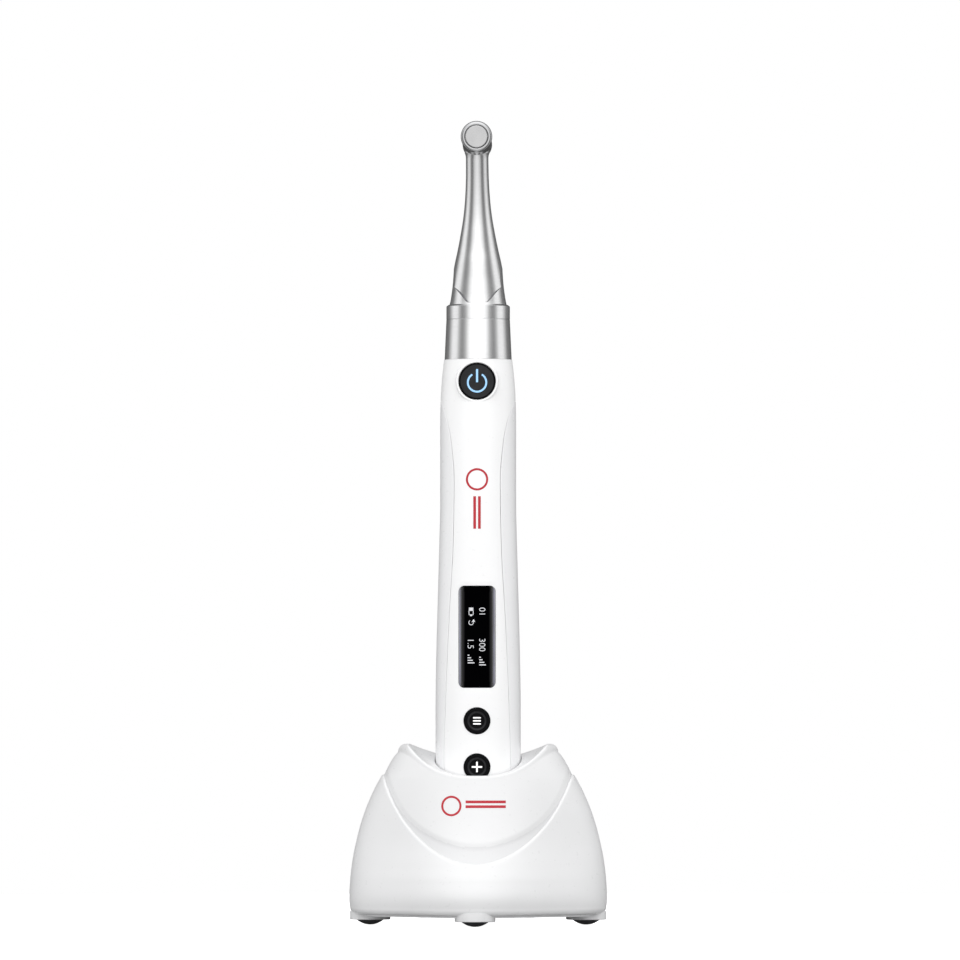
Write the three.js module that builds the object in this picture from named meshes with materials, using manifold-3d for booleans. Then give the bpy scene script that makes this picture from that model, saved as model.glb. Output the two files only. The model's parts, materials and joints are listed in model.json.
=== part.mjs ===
// Cordless endodontic motor standing in its charging stand.
// Millimetres, +Z up. The user stands at -Y, +X is to the right.
// The origin is on the table under the middle of the stand.
import * as THREE from 'three';
import { LoftGeometry } from 'three/addons/geometries/LoftGeometry.js';
import { mergeVertices } from 'three/addons/utils/BufferGeometryUtils.js';
import Module from 'manifold-3d';

const wasm = await Module();
wasm.setup();

// ---------------------------------------------------------------- driving dimensions

const GAP = 0.15;                  // clearance between two pieces that meet
const SHELL = 1.6;                 // wall of the handle mouldings
const STAND_WALL = 2.0;            // wall of the stand mouldings

// stand
const FOOT_PITCH_X = 32.0;         // side feet from the middle
const FOOT_PITCH_Y = 29.5;         // front and back feet from the middle
const BOSS_RADIUS = 6.0;
const CONTACT_X = 4.5;             // charging contacts from the middle
const SCREW_X = 15;
const SCREW_Y = 12;
const BOSS_BOTTOM = 1.9;
const FOOT_RADIUS = 4.35;
const SKIRT_BOTTOM = 3.2;
const POCKET_FLOOR = 19.6;
const POCKET_CLEARANCE = 0.6;
const PEAK = 53.5;                 // the two ears of the cradle
const FRONT_RIM = 43.5;            // lowest point of the saddle, in front of the handle
const BACK_RIM = 48.6;
const RIM_HALF_WIDTH = 20.5;
const INLET_Z = 11;
const CHANNEL_WIDTH = 9.1;         // groove in the pocket that the handle's buttons pass through

// handle
const HANDLE_BOTTOM = 20.0;
const HANDLE_TOP = 167.25;
const END_CAP_TOP = 25.0;
const TOP_BAND = 155;              // the front cover wraps all round above this height
const BUTTON_RADIUS = 3.85;
const BUTTON_PITCH = 13.6;
const PROGRAM_Z = 60.3;
const POWER_Z = 160.6;
const POWER_RADIUS = 5.35;
const DISPLAY_Z = 85.1;
const DISPLAY_HEIGHT = 30;
const DISPLAY_WIDTH = 11;
const DISPLAY_CORNER = 1.3;

// motor
const MOTOR_RADIUS = 8;
const MOTOR_BOTTOM = 112;
const MOTOR_TOP = 146;
const NOSE_RADIUS = 5;
const NOSE_TOP = 180;
const SPLINE_TEETH = 12;

// contra-angle
const SLEEVE_BOTTOM = 167.4;
const SLEEVE_TOP = 179.25;
const COLLAR_TOP = 183.05;
const BEND_Z = 187;                // the neck's axis leaves the handle's axis here
const LEAN = THREE.MathUtils.degToRad(14);
const HEAD_Z = 232.6;
const HEAD_RADIUS = 4.6;
const HEAD_BUTTON_RADIUS = 3.2;
const GROOVE_RADIUS = 3.52;
const HEAD_Y = -(HEAD_Z - BEND_Z) * Math.tan(LEAN);
const NECK_LENGTH = (HEAD_Z - BEND_Z) / Math.cos(LEAN);
const SHANK_BORE = 1.2;            // bore for a 2.35 mm file shank
const GEAR_TEETH = 12;
const GEAR_NEAR = 2.35;            // bevel teeth, from the middle of the head
const GEAR_FAR = 3.3;

// inside the handle
const BOARD_FRONT = -5.6;
const BOARD_THICKNESS = 1.2;
const BOARD_HEIGHT = 76;
const BOARD_MIDDLE = 67;
const CELL_RADIUS = 7;
const CELL_BOTTOM = 32;
const CELL_TOP = 97;
const CELL_Y = 3.6;

// ---------------------------------------------------------------- materials

function finish(color, roughness, metalness) {
  return { color, roughness, metalness };
}

const WHITE = finish(0xf4f5f6, 0.28, 0.0);
const SATIN = finish(0xc9cbce, 0.34, 1.0);
const BRIGHT = finish(0xdadcde, 0.2, 1.0);
const BUTTON_GREY = finish(0xd5d5d5, 0.5, 0.6);
const BLACK = finish(0x1b1c22, 0.4, 0.0);
const GLASS = finish(0x050608, 0.06, 0.0);
const RUBBER = finish(0x2a2c2f, 0.8, 0.0);
const STEEL = finish(0xa9adb1, 0.35, 1.0);
const BRASS = finish(0xd3a94c, 0.3, 1.0);
const BOARD = finish(0x1f5a3a, 0.6, 0.0);
const CELL = finish(0x2f5fa8, 0.5, 0.0);
const POLYMER = finish(0x3b3d40, 0.6, 0.0);

// ---------------------------------------------------------------- solids

// Turns a closed geometry into a solid.
function solid(geometry) {
  const plain = new THREE.BufferGeometry();
  plain.setAttribute('position', geometry.getAttribute('position'));
  plain.setIndex(geometry.index);
  const merged = mergeVertices(plain, 1e-4);
  const vertProperties = new Float32Array(merged.attributes.position.array);
  const triVerts = new Uint32Array(merged.index.array);
  return new wasm.Manifold(new wasm.Mesh({ numProp: 3, vertProperties, triVerts }));
}

// A solid of revolution about Z from a list of [radius, height] points, bottom to top.
function turned(profile, segments = 24) {
  const points = profile.map(([r, z]) => new THREE.Vector2(r, z));
  return solid(new THREE.LatheGeometry(points, segments).rotateX(Math.PI / 2));
}

// The same about Y, for the parts of the head: [radius, distance along +Y].
function turnedY(profile, segments = 24) {
  const points = profile.map(([r, y]) => new THREE.Vector2(r, y));
  return solid(new THREE.LatheGeometry(points, segments));
}

function rod(radius, from, to, segments = 16) {
  return turned([[0, from], [radius, from], [radius, to], [0, to]], segments);
}

function rodY(radius, from, to, segments = 16) {
  return turnedY([[0, from], [radius, from], [radius, to], [0, to]], segments);
}

function tube(inner, outer, from, to, segments = 16) {
  return turned([[inner, from], [outer, from], [outer, to], [inner, to], [inner, from]], segments);
}

function tubeY(inner, outer, from, to, segments = 16) {
  return turnedY([[inner, from], [outer, from], [outer, to], [inner, to], [inner, from]], segments);
}

function block(width, depth, height, x, y, z) {
  return solid(new THREE.BoxGeometry(width, depth, height).translate(x, y, z));
}

// A plate with the outline (x, z), from yFrom towards +Y.
function plateXZ(shape, yFrom, yTo, curveSegments = 12) {
  const depth = yTo - yFrom;
  const geometry = new THREE.ExtrudeGeometry(shape, { depth, bevelEnabled: false, curveSegments });
  return solid(geometry.rotateX(Math.PI / 2).translate(0, yTo, 0));
}

// A plate with the outline (x, y), from zFrom up.
function plateXY(shape, zFrom, zTo, curveSegments = 12) {
  const depth = zTo - zFrom;
  const geometry = new THREE.ExtrudeGeometry(shape, { depth, bevelEnabled: false, curveSegments });
  return solid(geometry.translate(0, 0, zFrom));
}

function roundedOutline(width, height, corner, cx = 0, cy = 0) {
  const w = width / 2 - corner;
  const h = height / 2 - corner;
  const shape = new THREE.Shape();
  shape.moveTo(cx - w, cy - h - corner);
  shape.absarc(cx + w, cy - h, corner, -Math.PI / 2, 0);
  shape.absarc(cx + w, cy + h, corner, 0, Math.PI / 2);
  shape.absarc(cx - w, cy + h, corner, Math.PI / 2, Math.PI);
  shape.absarc(cx - w, cy - h, corner, Math.PI, Math.PI * 1.5);
  return shape;
}

// A star with square teeth, as a closed list of points.
function toothedOutline(teeth, root, tip, toothShare) {
  const points = [];
  for (let i = 0; i < teeth; i++) {
    const middle = (i / teeth) * Math.PI * 2;
    const half = (Math.PI / teeth) * toothShare;
    const edge = Math.PI / teeth;
    points.push(new THREE.Vector2(Math.cos(middle - edge) * root, Math.sin(middle - edge) * root));
    points.push(new THREE.Vector2(Math.cos(middle - half) * root, Math.sin(middle - half) * root));
    points.push(new THREE.Vector2(Math.cos(middle - half) * tip, Math.sin(middle - half) * tip));
    points.push(new THREE.Vector2(Math.cos(middle + half) * tip, Math.sin(middle + half) * tip));
    points.push(new THREE.Vector2(Math.cos(middle + half) * root, Math.sin(middle + half) * root));
  }
  return points;
}

function toothedRod(teeth, root, tip, toothShare, from, to) {
  const outline = toothedOutline(teeth, root, tip, toothShare);
  return plateXY(new THREE.Shape(outline), from, to);
}

// A bevel gear on +Z whose cone points at the origin.
function bevelGear(coneAngle) {
  const depthAngle = 0.075;
  const rootSlope = Math.tan(coneAngle - depthAngle);
  const tipSlope = Math.tan(coneAngle + depthAngle * 0.75);
  const sections = [GEAR_NEAR, GEAR_FAR].map((z) =>
    toothedOutline(GEAR_TEETH, rootSlope * z, tipSlope * z, 0.4).map(
      (p) => new THREE.Vector3(p.x, p.y, z)
    )
  );
  return solid(new LoftGeometry(sections, { capStart: true, capEnd: true }));
}

// Interpolates a list of [height, value] rows with a smooth curve.
function profileOf(rows) {
  const curve = new THREE.CatmullRomCurve3(
    rows.map(([z, value]) => new THREE.Vector3(value, 0, z)),
    false,
    'centripetal'
  );
  const samples = curve.getPoints(rows.length * 12);
  return (z) => {
    if (z <= samples[0].z) return samples[0].x;
    for (let i = 1; i < samples.length; i++) {
      if (z <= samples[i].z) {
        const t = (z - samples[i - 1].z) / (samples[i].z - samples[i - 1].z);
        return THREE.MathUtils.lerp(samples[i - 1].x, samples[i].x, t);
      }
    }
    return samples[samples.length - 1].x;
  };
}

// A rounded section: half width, half depth to the front and to the back, squareness.
function sectionAt(z, halfWidth, front, back, power, count, grow = 0) {
  const points = [];
  for (let i = 0; i < count; i++) {
    const angle = (i / count) * Math.PI * 2;
    const c = Math.cos(angle);
    const s = Math.sin(angle);
    const depth = s < 0 ? front : back;
    const x = Math.sign(c) * Math.abs(c) ** (2 / power) * (halfWidth + grow);
    const y = Math.sign(s) * Math.abs(s) ** (2 / power) * (depth + grow);
    points.push(new THREE.Vector3(x, y, z));
  }
  return points;
}

function loft(sections) {
  return solid(new LoftGeometry(sections, { capStart: true, capEnd: true }));
}

const parts = new THREE.Group();

// Adds a solid as a named mesh to the given group.
function add(group, name, body, look) {
  const mesh = body.getMesh();
  const geometry = new THREE.BufferGeometry();
  geometry.setAttribute('position', new THREE.BufferAttribute(new Float32Array(mesh.vertProperties), 3));
  geometry.setIndex(new THREE.BufferAttribute(new Uint32Array(mesh.triVerts), 1));
  geometry.computeVertexNormals();
  const result = new THREE.Mesh(geometry, new THREE.MeshStandardMaterial(look));
  result.name = name;
  group.add(result);
  return result;
}

// ---------------------------------------------------------------- handle

const handleHalfWidth = profileOf([
  [20, 11.5], [24, 12.25], [35, 12.5], [50, 12.6], [65, 12.6], [78, 12.42], [89, 12.15],
  [101, 11.82], [113, 11.5], [125, 11.25], [148.5, 11.25], [155, 11.13], [160.5, 10.82], [167.4, 10.1],
]);
const handleFront = profileOf([
  [20, 10.6], [24, 11.3], [50, 11.5], [89, 11.0], [116, 10.6], [142, 10.6], [155, 10.4], [167.4, 9.95],
]);
const handleBack = profileOf([
  [20, 12.4], [24, 13.2], [50, 13.6], [89, 12.9], [116, 12.3], [142, 11.7], [155, 11.0], [167.4, 9.95],
]);
const handlePower = profileOf([[20, 2.5], [89, 2.5], [142, 2.2], [155, 2.05], [167.4, 2.0]]);

function handleSection(z, grow, count) {
  const power = handlePower(z);
  return sectionAt(z, handleHalfWidth(z), handleFront(z), handleBack(z), power, count, grow);
}

function handleLoft(heights, grow, count = 32) {
  return loft(heights.map((z) => handleSection(z, grow, count)));
}

// Half width of the seam between the front strip and the rear shell.
const SEAM = [
  [14, 9.9], [47.7, 9.8], [64.8, 9.4], [89.3, 8.4], [114, 7.1], [131.3, 6.85], [142.6, 7.7],
  [148.7, 8.8], [TOP_BAND, 11.1], [TOP_BAND, 16], [172, 16],
];

function frontOutline(offset) {
  const shape = new THREE.Shape();
  SEAM.forEach(([z, x], i) => {
    const low = z === TOP_BAND ? z + offset : z;
    if (i === 0) shape.moveTo(x - offset, low);
    else shape.lineTo(x - offset, low);
  });
  [...SEAM].reverse().forEach(([z, x]) => {
    shape.lineTo(-(x - offset), z === TOP_BAND ? z + offset : z);
  });
  shape.closePath();
  return shape;
}

// Everything that belongs to the front cover, shrunk or grown by an offset.
function frontRegion(offset) {
  const strip = plateXZ(frontOutline(offset), -20, 0);
  const band = block(40, 40, 20, 0, 0, TOP_BAND + 10 + offset);
  return strip.add(band);
}

function buttonZ(index) {
  return PROGRAM_Z - BUTTON_PITCH * index;
}

// A round bore or boss on the front of the handle, along Y.
function frontRod(radius, z, yFrom, yTo, segments = 20) {
  return rodY(radius, yFrom, yTo, segments).translate(0, 0, z);
}

function buildHandle(group) {
  const outerHeights = [END_CAP_TOP + GAP, 50, 89, 116, 142, 155, HANDLE_TOP];
  const innerHeights = [20, 24, 50, 89, 116, 142, 155, 165.6];
  const outer = handleLoft(outerHeights, 0);
  const inner = handleLoft(innerHeights, -SHELL, 24);
  const noseHole = rod(NOSE_RADIUS + 0.3, 160, 172);
  const shell = outer.subtract(inner).subtract(noseHole);

  const displayCut = plateXZ(
    roundedOutline(DISPLAY_WIDTH + 0.3, DISPLAY_HEIGHT + 0.3, DISPLAY_CORNER + 0.15, 0, DISPLAY_Z),
    -20,
    -6,
    4
  );
  let front = shell.intersect(frontRegion(GAP)).subtract(displayCut);
  const powerRim = frontRod(POWER_RADIUS + 0.75, POWER_Z, -handleFront(POWER_Z) - 0.15, -7.4)
    .subtract(rod(NOSE_RADIUS + 1.7, 150, 172));
  front = front.add(powerRim.subtract(inner));
  front = front.subtract(frontRod(POWER_RADIUS + GAP, POWER_Z, -20, -6));
  for (let i = 0; i < 3; i++) {
    front = front.subtract(frontRod(BUTTON_RADIUS + GAP, buttonZ(i), -20, -6));
  }
  add(group, 'front_cover', front, WHITE);
  add(group, 'rear_shell', shell.subtract(frontRegion(-GAP)), WHITE);

  const cap = handleLoft([HANDLE_BOTTOM, 22, END_CAP_TOP - GAP], 0)
    .add(handleLoft([END_CAP_TOP - 0.3, END_CAP_TOP + 3], -SHELL - 0.3, 24));
  const hollow = handleLoft([HANDLE_BOTTOM + 2.4, END_CAP_TOP + 5], -SHELL - 1.8, 24);
  let endCap = cap.subtract(hollow);
  for (const side of [-1, 1]) {
    endCap = endCap.subtract(rod(1.8 + GAP, 18, 26, 16).translate(side * CONTACT_X, 0, 0));
  }
  add(group, 'end_cap', endCap, WHITE);
  for (const [side, label] of [[-1, 'left'], [1, 'right']]) {
    const contact = turned(
      [
        [0, HANDLE_BOTTOM + 0.4], [1.8, HANDLE_BOTTOM + 0.4], [1.8, 22.6], [2.6, 22.6], [2.6, 23.2],
        [0, 23.2],
      ],
      16
    );
    add(group, `charge_contact_${label}`, contact.translate(side * CONTACT_X, 0, 0), BRASS);
  }
}

// A dished push button on the front of the handle.
function buttonBody(radius, z, face, stem) {
  const body = turnedY(
    [
      [0, face + 0.35], [radius - 1.3, face + 0.35], [radius - 0.8, face], [radius - 0.25, face],
      [radius, face + 0.25], [radius, face + 2.8], [radius + 0.3, face + 2.8], [radius + 0.3, face + 3.3],
      [1.2, face + 3.3], [1.2, stem], [0, stem],
    ],
    20
  );
  return body.translate(0, 0, z);
}

function powerButtonBody() {
  const face = -handleFront(POWER_Z) - 0.05;
  const body = turnedY(
    [
      [0, face], [POWER_RADIUS - 0.4, face], [POWER_RADIUS, face + 0.3], [POWER_RADIUS, face + 1.5],
      [1.2, face + 1.5], [1.2, face + 2.0], [0, face + 2.0],
    ],
    20
  );
  return body.translate(0, 0, POWER_Z);
}

function tactSwitch(z, front, depth, size) {
  return block(size, depth, size, 0, front + depth / 2, z)
    .add(frontRod(0.9, z, front - 0.5, front + 0.2, 12));
}

function buildControls(group) {
  const names = ['program', 'plus', 'minus'];
  names.forEach((label, i) => {
    const z = buttonZ(i);
    const face = -handleFront(z) - 0.35;
    const stem = BOARD_FRONT - 2.4;
    add(group, `${label}_button`, buttonBody(BUTTON_RADIUS, z, face, stem), BLACK);
    const tact = tactSwitch(z, BOARD_FRONT - 1.2, 1.1, 3.4);
    add(group, `${label}_switch`, tact, POLYMER);
  });
  add(group, 'power_button', powerButtonBody(), BLACK);
  add(group, 'power_switch', tactSwitch(POWER_Z, -7.3, 0.8, 3.0), POLYMER);

  const windowFront = -handleFront(DISPLAY_Z) - 0.25;
  const outline = roundedOutline(DISPLAY_WIDTH, DISPLAY_HEIGHT, DISPLAY_CORNER, 0, DISPLAY_Z);
  add(group, 'display_window', plateXZ(outline, windowFront, windowFront + 2.0, 6), GLASS);
  const moduleFront = windowFront + 2.2;
  const moduleBack = BOARD_FRONT - 0.2;
  const module = block(
    DISPLAY_WIDTH - 1, moduleBack - moduleFront, DISPLAY_HEIGHT - 1,
    0, (moduleFront + moduleBack) / 2, DISPLAY_Z
  );
  add(group, 'display_module', module, POLYMER);
  const board = block(
    15, BOARD_THICKNESS, BOARD_HEIGHT,
    0, BOARD_FRONT + BOARD_THICKNESS / 2, BOARD_MIDDLE
  );
  add(group, 'circuit_board', board, BOARD);
  const cell = turned(
    [
      [0, CELL_BOTTOM], [CELL_RADIUS - 0.4, CELL_BOTTOM], [CELL_RADIUS, CELL_BOTTOM + 0.4],
      [CELL_RADIUS, CELL_TOP - 0.4], [CELL_RADIUS - 0.4, CELL_TOP], [2.2, CELL_TOP], [2.2, CELL_TOP + 1],
      [0, CELL_TOP + 1],
    ],
    16
  );
  add(group, 'battery_cell', cell.translate(0, CELL_Y, 0), CELL);
}

function buildMotor(group) {
  const can = tube(6.2, MOTOR_RADIUS, MOTOR_BOTTOM, MOTOR_TOP, 20)
    .add(tube(1.6, 7, MOTOR_BOTTOM, MOTOR_BOTTOM + 1.2, 20));
  add(group, 'motor_can', can, STEEL);
  const nose = turned(
    [
      [2.6, MOTOR_TOP + GAP], [MOTOR_RADIUS, MOTOR_TOP + GAP], [MOTOR_RADIUS, 149], [NOSE_RADIUS, 150.5],
      [NOSE_RADIUS, 173.2], [NOSE_RADIUS - 0.7, 173.2], [NOSE_RADIUS - 0.7, 174.8], [NOSE_RADIUS, 174.8],
      [NOSE_RADIUS, NOSE_TOP - 0.6], [NOSE_RADIUS - 0.6, NOSE_TOP], [2.6, NOSE_TOP], [2.6, MOTOR_TOP + GAP],
    ],
    20
  );
  add(group, 'motor_nose', nose, BRIGHT);
  const seal = turned(
    [
      [NOSE_RADIUS - 0.6, 173.5], [NOSE_RADIUS + 0.1, 173.4], [NOSE_RADIUS + 0.25, 174],
      [NOSE_RADIUS + 0.1, 174.6], [NOSE_RADIUS - 0.6, 174.5], [NOSE_RADIUS - 0.6, 173.5],
    ],
    20
  );
  add(group, 'nose_seal_ring', seal, RUBBER);
  const rotor = turned(
    [
      [0, MOTOR_BOTTOM - 1], [1.2, MOTOR_BOTTOM - 1], [1.2, 116], [5.6, 116], [5.6, 142], [1.2, 142],
      [1.2, 165], [0, 165],
    ],
    16
  ).add(toothedRod(SPLINE_TEETH, 1.1, 1.5, 0.42, 164.8, 171.5));
  add(group, 'motor_rotor', rotor, STEEL);
}

// ---------------------------------------------------------------- contra-angle

// A turned frame whose +Z runs from the head's middle down along the neck.
function neckGroup() {
  const group = new THREE.Group();
  group.position.set(0, HEAD_Y, HEAD_Z);
  group.rotation.x = Math.PI + LEAN;
  return group;
}

// The same placement for a solid.
function alongNeck(body) {
  return body.rotate([180 + THREE.MathUtils.radToDeg(LEAN), 0, 0]).translate(0, HEAD_Y, HEAD_Z);
}

const neckRadius = [
  [0, 3.35], [5.6, 3.3], [14, 3.42], [21.2, 3.6], [26.8, 4.4], [32.3, 5.6], [36, 6.4],
  [39.2, 7.2], [43, 7.75], [47, 7.95], [50, 7.95],
];

const SPINDLE_CONE = (Math.PI / 2 - LEAN) / 2;

function buildNeckShell(group) {
  const neck = alongNeck(turned([[0, 0], ...neckRadius.map(([s, r]) => [r, s]), [0, 50]], 24));
  const base = turned(
    [
      [0, COLLAR_TOP + GAP], [9.4, COLLAR_TOP + GAP], [8.7, COLLAR_TOP + 0.6], [8.25, 184.4], [7.95, 186],
      [7.6, 189], [7.2, 194.4], [6.4, 195.8], [4.6, 196.7], [0, 197.1],
    ],
    32
  );
  const head = turnedY([[0, -3.9], [HEAD_RADIUS, -3.9], [HEAD_RADIUS, 4.9], [4.1, 5.4], [0, 5.4]], 28)
    .translate(0, HEAD_Y, HEAD_Z);
  const below = block(60, 60, 30, 0, 0, COLLAR_TOP + GAP - 15);
  let shell = neck.add(base).add(head).subtract(below);
  const headBore = turnedY([[0, -5], [3.9, -5], [3.9, 4.45], [2.5, 4.45], [2.5, 7], [0, 7]], 20)
    .translate(0, HEAD_Y, HEAD_Z);
  const neckBore = alongNeck(turned(
    [[0, 0], [3.0, 0], [3.0, 3.9], [2.3, 4.2], [2.3, 30], [4.2, 34], [4.2, 45], [0, 45]],
    16
  ));
  const baseBore = turned([[0, 170], [6.6, 170], [6.6, 186], [4.8, 190], [0, 190]], 20);
  shell = shell.subtract(headBore).subtract(neckBore).subtract(baseBore);
  add(group, 'neck_shell', shell, SATIN);
}

function buildHeadParts(group) {
  const head = new THREE.Group();
  head.position.set(0, HEAD_Y, HEAD_Z);
  group.add(head);
  const capRing = turnedY(
    [
      [GROOVE_RADIUS, -5.2], [GROOVE_RADIUS + 0.15, -5.4], [HEAD_RADIUS - 0.45, -5.4], [HEAD_RADIUS, -4.95],
      [HEAD_RADIUS, -4.05], [3.75, -4.05], [3.75, -2.3], [GROOVE_RADIUS, -2.3], [GROOVE_RADIUS, -5.2],
    ],
    28
  );
  add(head, 'head_cap_ring', capRing, BRIGHT);
  const button = turnedY(
    [
      [0, -5.5], [HEAD_BUTTON_RADIUS - 0.2, -5.5], [HEAD_BUTTON_RADIUS, -5.3], [HEAD_BUTTON_RADIUS, -4.3],
      [2.6, -4.3], [2.6, -4.8], [0, -4.8],
    ],
    24
  );
  add(head, 'head_push_button', button, BUTTON_GREY);
  add(head, 'button_spring_washer', tubeY(1.2, 2.3, -3.95, -3.6), STEEL);
  add(head, 'button_side_bearing', tubeY(1.65, 3.35, -3.2, -2.4), STEEL);
  add(head, 'chuck_side_bearing', tubeY(1.65, 3.75, 3.65, 4.35), STEEL);
  const spindleGear = bevelGear(SPINDLE_CONE).rotate([-90, 0, 0]);
  const spindleBody = rodY(1.5, -3.45, 5.6).add(rodY(2.3, 5.55, 6.0)).add(rodY(2.3, 3.2, 3.5));
  const spindle = spindleBody.add(spindleGear).subtract(rodY(SHANK_BORE, -6, 8, 16));
  add(head, 'spindle', spindle, STEEL);
}

function buildDriveTrain(group) {
  const neck = neckGroup();
  group.add(neck);
  const toBend = NECK_LENGTH;
  const pinion = bevelGear(SPINDLE_CONE).rotate([0, 0, 180 / GEAR_TEETH]);
  const ball = toothedRod(SPLINE_TEETH, 1.35, 1.8, 0.34, toBend - 0.5, toBend + 0.5);
  const shaft = rod(1.1, 3.2, toBend + 0.4, 12).add(pinion).add(ball);
  add(neck, 'neck_shaft', shaft, STEEL);
  add(neck, 'neck_front_bearing', tube(1.25, 2.15, 5, 7.5), STEEL);
  add(neck, 'neck_rear_bearing', tube(1.25, 4.05, 36, 38.5), STEEL);

  // rear shaft: a socket over the motor's spline below and round the neck shaft above
  const splineBore = toothedRod(SPLINE_TEETH, 1.25, 1.7, 0.56, 160, 172.5);
  const ballBore = toothedRod(SPLINE_TEETH, 1.6, 2.1, 0.62, BEND_Z - 1.6, BEND_Z + 4);
  const rear = turned(
    [
      [0, 166], [2.3, 166], [2.3, 173], [1.6, 174], [1.6, 183], [2.9, 184], [2.9, BEND_Z + 1.2],
      [0, BEND_Z + 1.2],
    ],
    16
  ).subtract(splineBore).subtract(ballBore);
  add(group, 'rear_shaft', rear, STEEL);
  add(group, 'rear_shaft_bearing', tube(1.75, 6.45, 180.6, 182.6, 20), STEEL);
}

function buildSleeve(group) {
  const sleeve = turned(
    [
      [7.0, SLEEVE_BOTTOM], [9.8, SLEEVE_BOTTOM], [9.95, SLEEVE_BOTTOM + 0.15], [9.42, SLEEVE_TOP - 0.1],
      [9.32, SLEEVE_TOP], [7.0, SLEEVE_TOP], [7.0, SLEEVE_BOTTOM],
    ],
    28
  );
  add(group, 'sleeve', sleeve, SATIN);
  const collar = turned(
    [
      [6.7, SLEEVE_TOP + GAP], [9.32, SLEEVE_TOP + GAP], [9.42, SLEEVE_TOP + GAP + 0.1],
      [9.42, COLLAR_TOP - 0.1], [9.32, COLLAR_TOP], [6.7, COLLAR_TOP], [6.7, SLEEVE_TOP + GAP],
    ],
    28
  );
  add(group, 'collar_ring', collar, BRIGHT);
  const bush = tube(NOSE_RADIUS + 0.35, 6.7, SLEEVE_BOTTOM + 0.2, SLEEVE_TOP, 20);
  add(group, 'coupling_bush', bush, POLYMER);
}

// ---------------------------------------------------------------- stand

const standHalfWidth = profileOf([
  [3.2, 37.6], [7.5, 38.2], [13.4, 37.9], [19.3, 37.2], [25.2, 36.0], [31.1, 34.4], [37, 32.2],
  [42.9, 29.3], [45.3, 27.8], [50, 25.0], [53.6, 21.4],
]);
const standHalfDepth = profileOf([
  [3.2, 34.6], [7.9, 35.6], [13.2, 33.9], [17.7, 31.2], [22.2, 28.4], [27, 26], [35, 23], [44, 20.4],
  [53.6, 18.2],
]);
const LOBE_DEPTH = 0.13;

// Four soft lobes: full reach on the axes, drawn in on the diagonals.
function standSection(z, grow, count) {
  const points = [];
  const fade = THREE.MathUtils.clamp((46 - z) / 32, 0, 1);
  for (let i = 0; i < count; i++) {
    const angle = (i / count) * Math.PI * 2;
    const draw = 1 - LOBE_DEPTH * fade * (0.5 - 0.5 * Math.cos(4 * angle));
    const x = Math.cos(angle) * (standHalfWidth(z) + grow) * draw;
    const y = Math.sin(angle) * (standHalfDepth(z) + grow) * draw;
    points.push(new THREE.Vector3(x, y, z));
  }
  return points;
}

function standLoft(heights, grow, count = 32) {
  return loft(heights.map((z) => standSection(z, grow, count)));
}

// An opening above a U-shaped curve, as an outline seen from the front.
function aboveCurve(halfWidth, low, high, power, reach) {
  const shape = new THREE.Shape();
  const steps = 10;
  for (let i = 0; i <= steps; i++) {
    const t = -1 + (2 * i) / steps;
    const z = low + (high - low) * Math.abs(t) ** power;
    if (i === 0) shape.moveTo(t * halfWidth, z);
    else shape.lineTo(t * halfWidth, z);
  }
  shape.lineTo(reach, 70);
  shape.lineTo(-reach, 70);
  shape.closePath();
  return shape;
}

const CURVE_REACH = 44;            // past the widest part of the stand

// The seam between base shell and cradle, moved down and out by an amount.
function aboveSeam(grow) {
  return plateXZ(aboveCurve(28.6 + grow, 17.9 - grow, 45.2, 2.75, CURVE_REACH), -60, 60);
}

// The crowned field inside the seam.
function aboveBulge() {
  return plateXZ(aboveCurve(27.4, 22.9, 45.6, 3.2, CURVE_REACH), -60, 60);
}

const STAND_HEIGHTS = [SKIRT_BOTTOM, 5, 8, 13, 20, 28, 36, 46];
const CRADLE_HEIGHTS = [14, 24, 35, 45, 49.5, PEAK];

function buildStandShells(group) {
  const outer = standLoft(STAND_HEIGHTS, 0);
  const inner = standLoft([-2, 8, 22, 36, 50], -STAND_WALL);
  const inletHole = rodY(3.9, 20, 60).translate(0, 0, INLET_Z);
  const skirt = outer.subtract(inner).subtract(aboveSeam(0)).subtract(inletHole);
  add(group, 'base_shell', skirt, WHITE);

  const bulge = standLoft(CRADLE_HEIGHTS, -0.5).intersect(aboveBulge());
  const band = standLoft(CRADLE_HEIGHTS, -1.6).intersect(aboveSeam(-GAP));
  const innerLip = standLoft(CRADLE_HEIGHTS, -STAND_WALL - 0.9).intersect(aboveSeam(2.5));
  const pocketBody = handleLoft([POCKET_FLOOR - 2.2, 24, 44], POCKET_CLEARANCE + 2.2, 28);
  const cavity = standLoft([-2, 20, 39.5], -5, 20).subtract(pocketBody);
  const pocket = handleLoft([POCKET_FLOOR, 24, 60], POCKET_CLEARANCE, 28);
  const rim = PEAK + 0.1;
  const frontCut = aboveCurve(RIM_HALF_WIDTH, FRONT_RIM, rim, 2.8, RIM_HALF_WIDTH);
  const frontOpening = plateXZ(frontCut, -40, 0);
  const backCut = aboveCurve(RIM_HALF_WIDTH, BACK_RIM, rim, 1.9, RIM_HALF_WIDTH);
  const backOpening = plateXZ(backCut, -0.1, 40);
  const buttonChannel = block(CHANNEL_WIDTH, 10, 50, 0, -8, 52);
  let cradle = bulge.add(band).add(innerLip).add(pocketBody).subtract(cavity);
  cradle = cradle.subtract(frontOpening).subtract(backOpening).subtract(pocket);
  cradle = cradle.subtract(buttonChannel);
  for (const side of [-1, 1]) {
    cradle = cradle.subtract(rod(1.35, 10, 30, 12).translate(side * CONTACT_X, 0, 0));
  }
  add(group, 'cradle', cradle, WHITE);
}

const SCREWS = [
  ['front_left', -SCREW_X, -SCREW_Y], ['front_right', SCREW_X, -SCREW_Y],
  ['back_left', -SCREW_X, SCREW_Y], ['back_right', SCREW_X, SCREW_Y],
];

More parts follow.
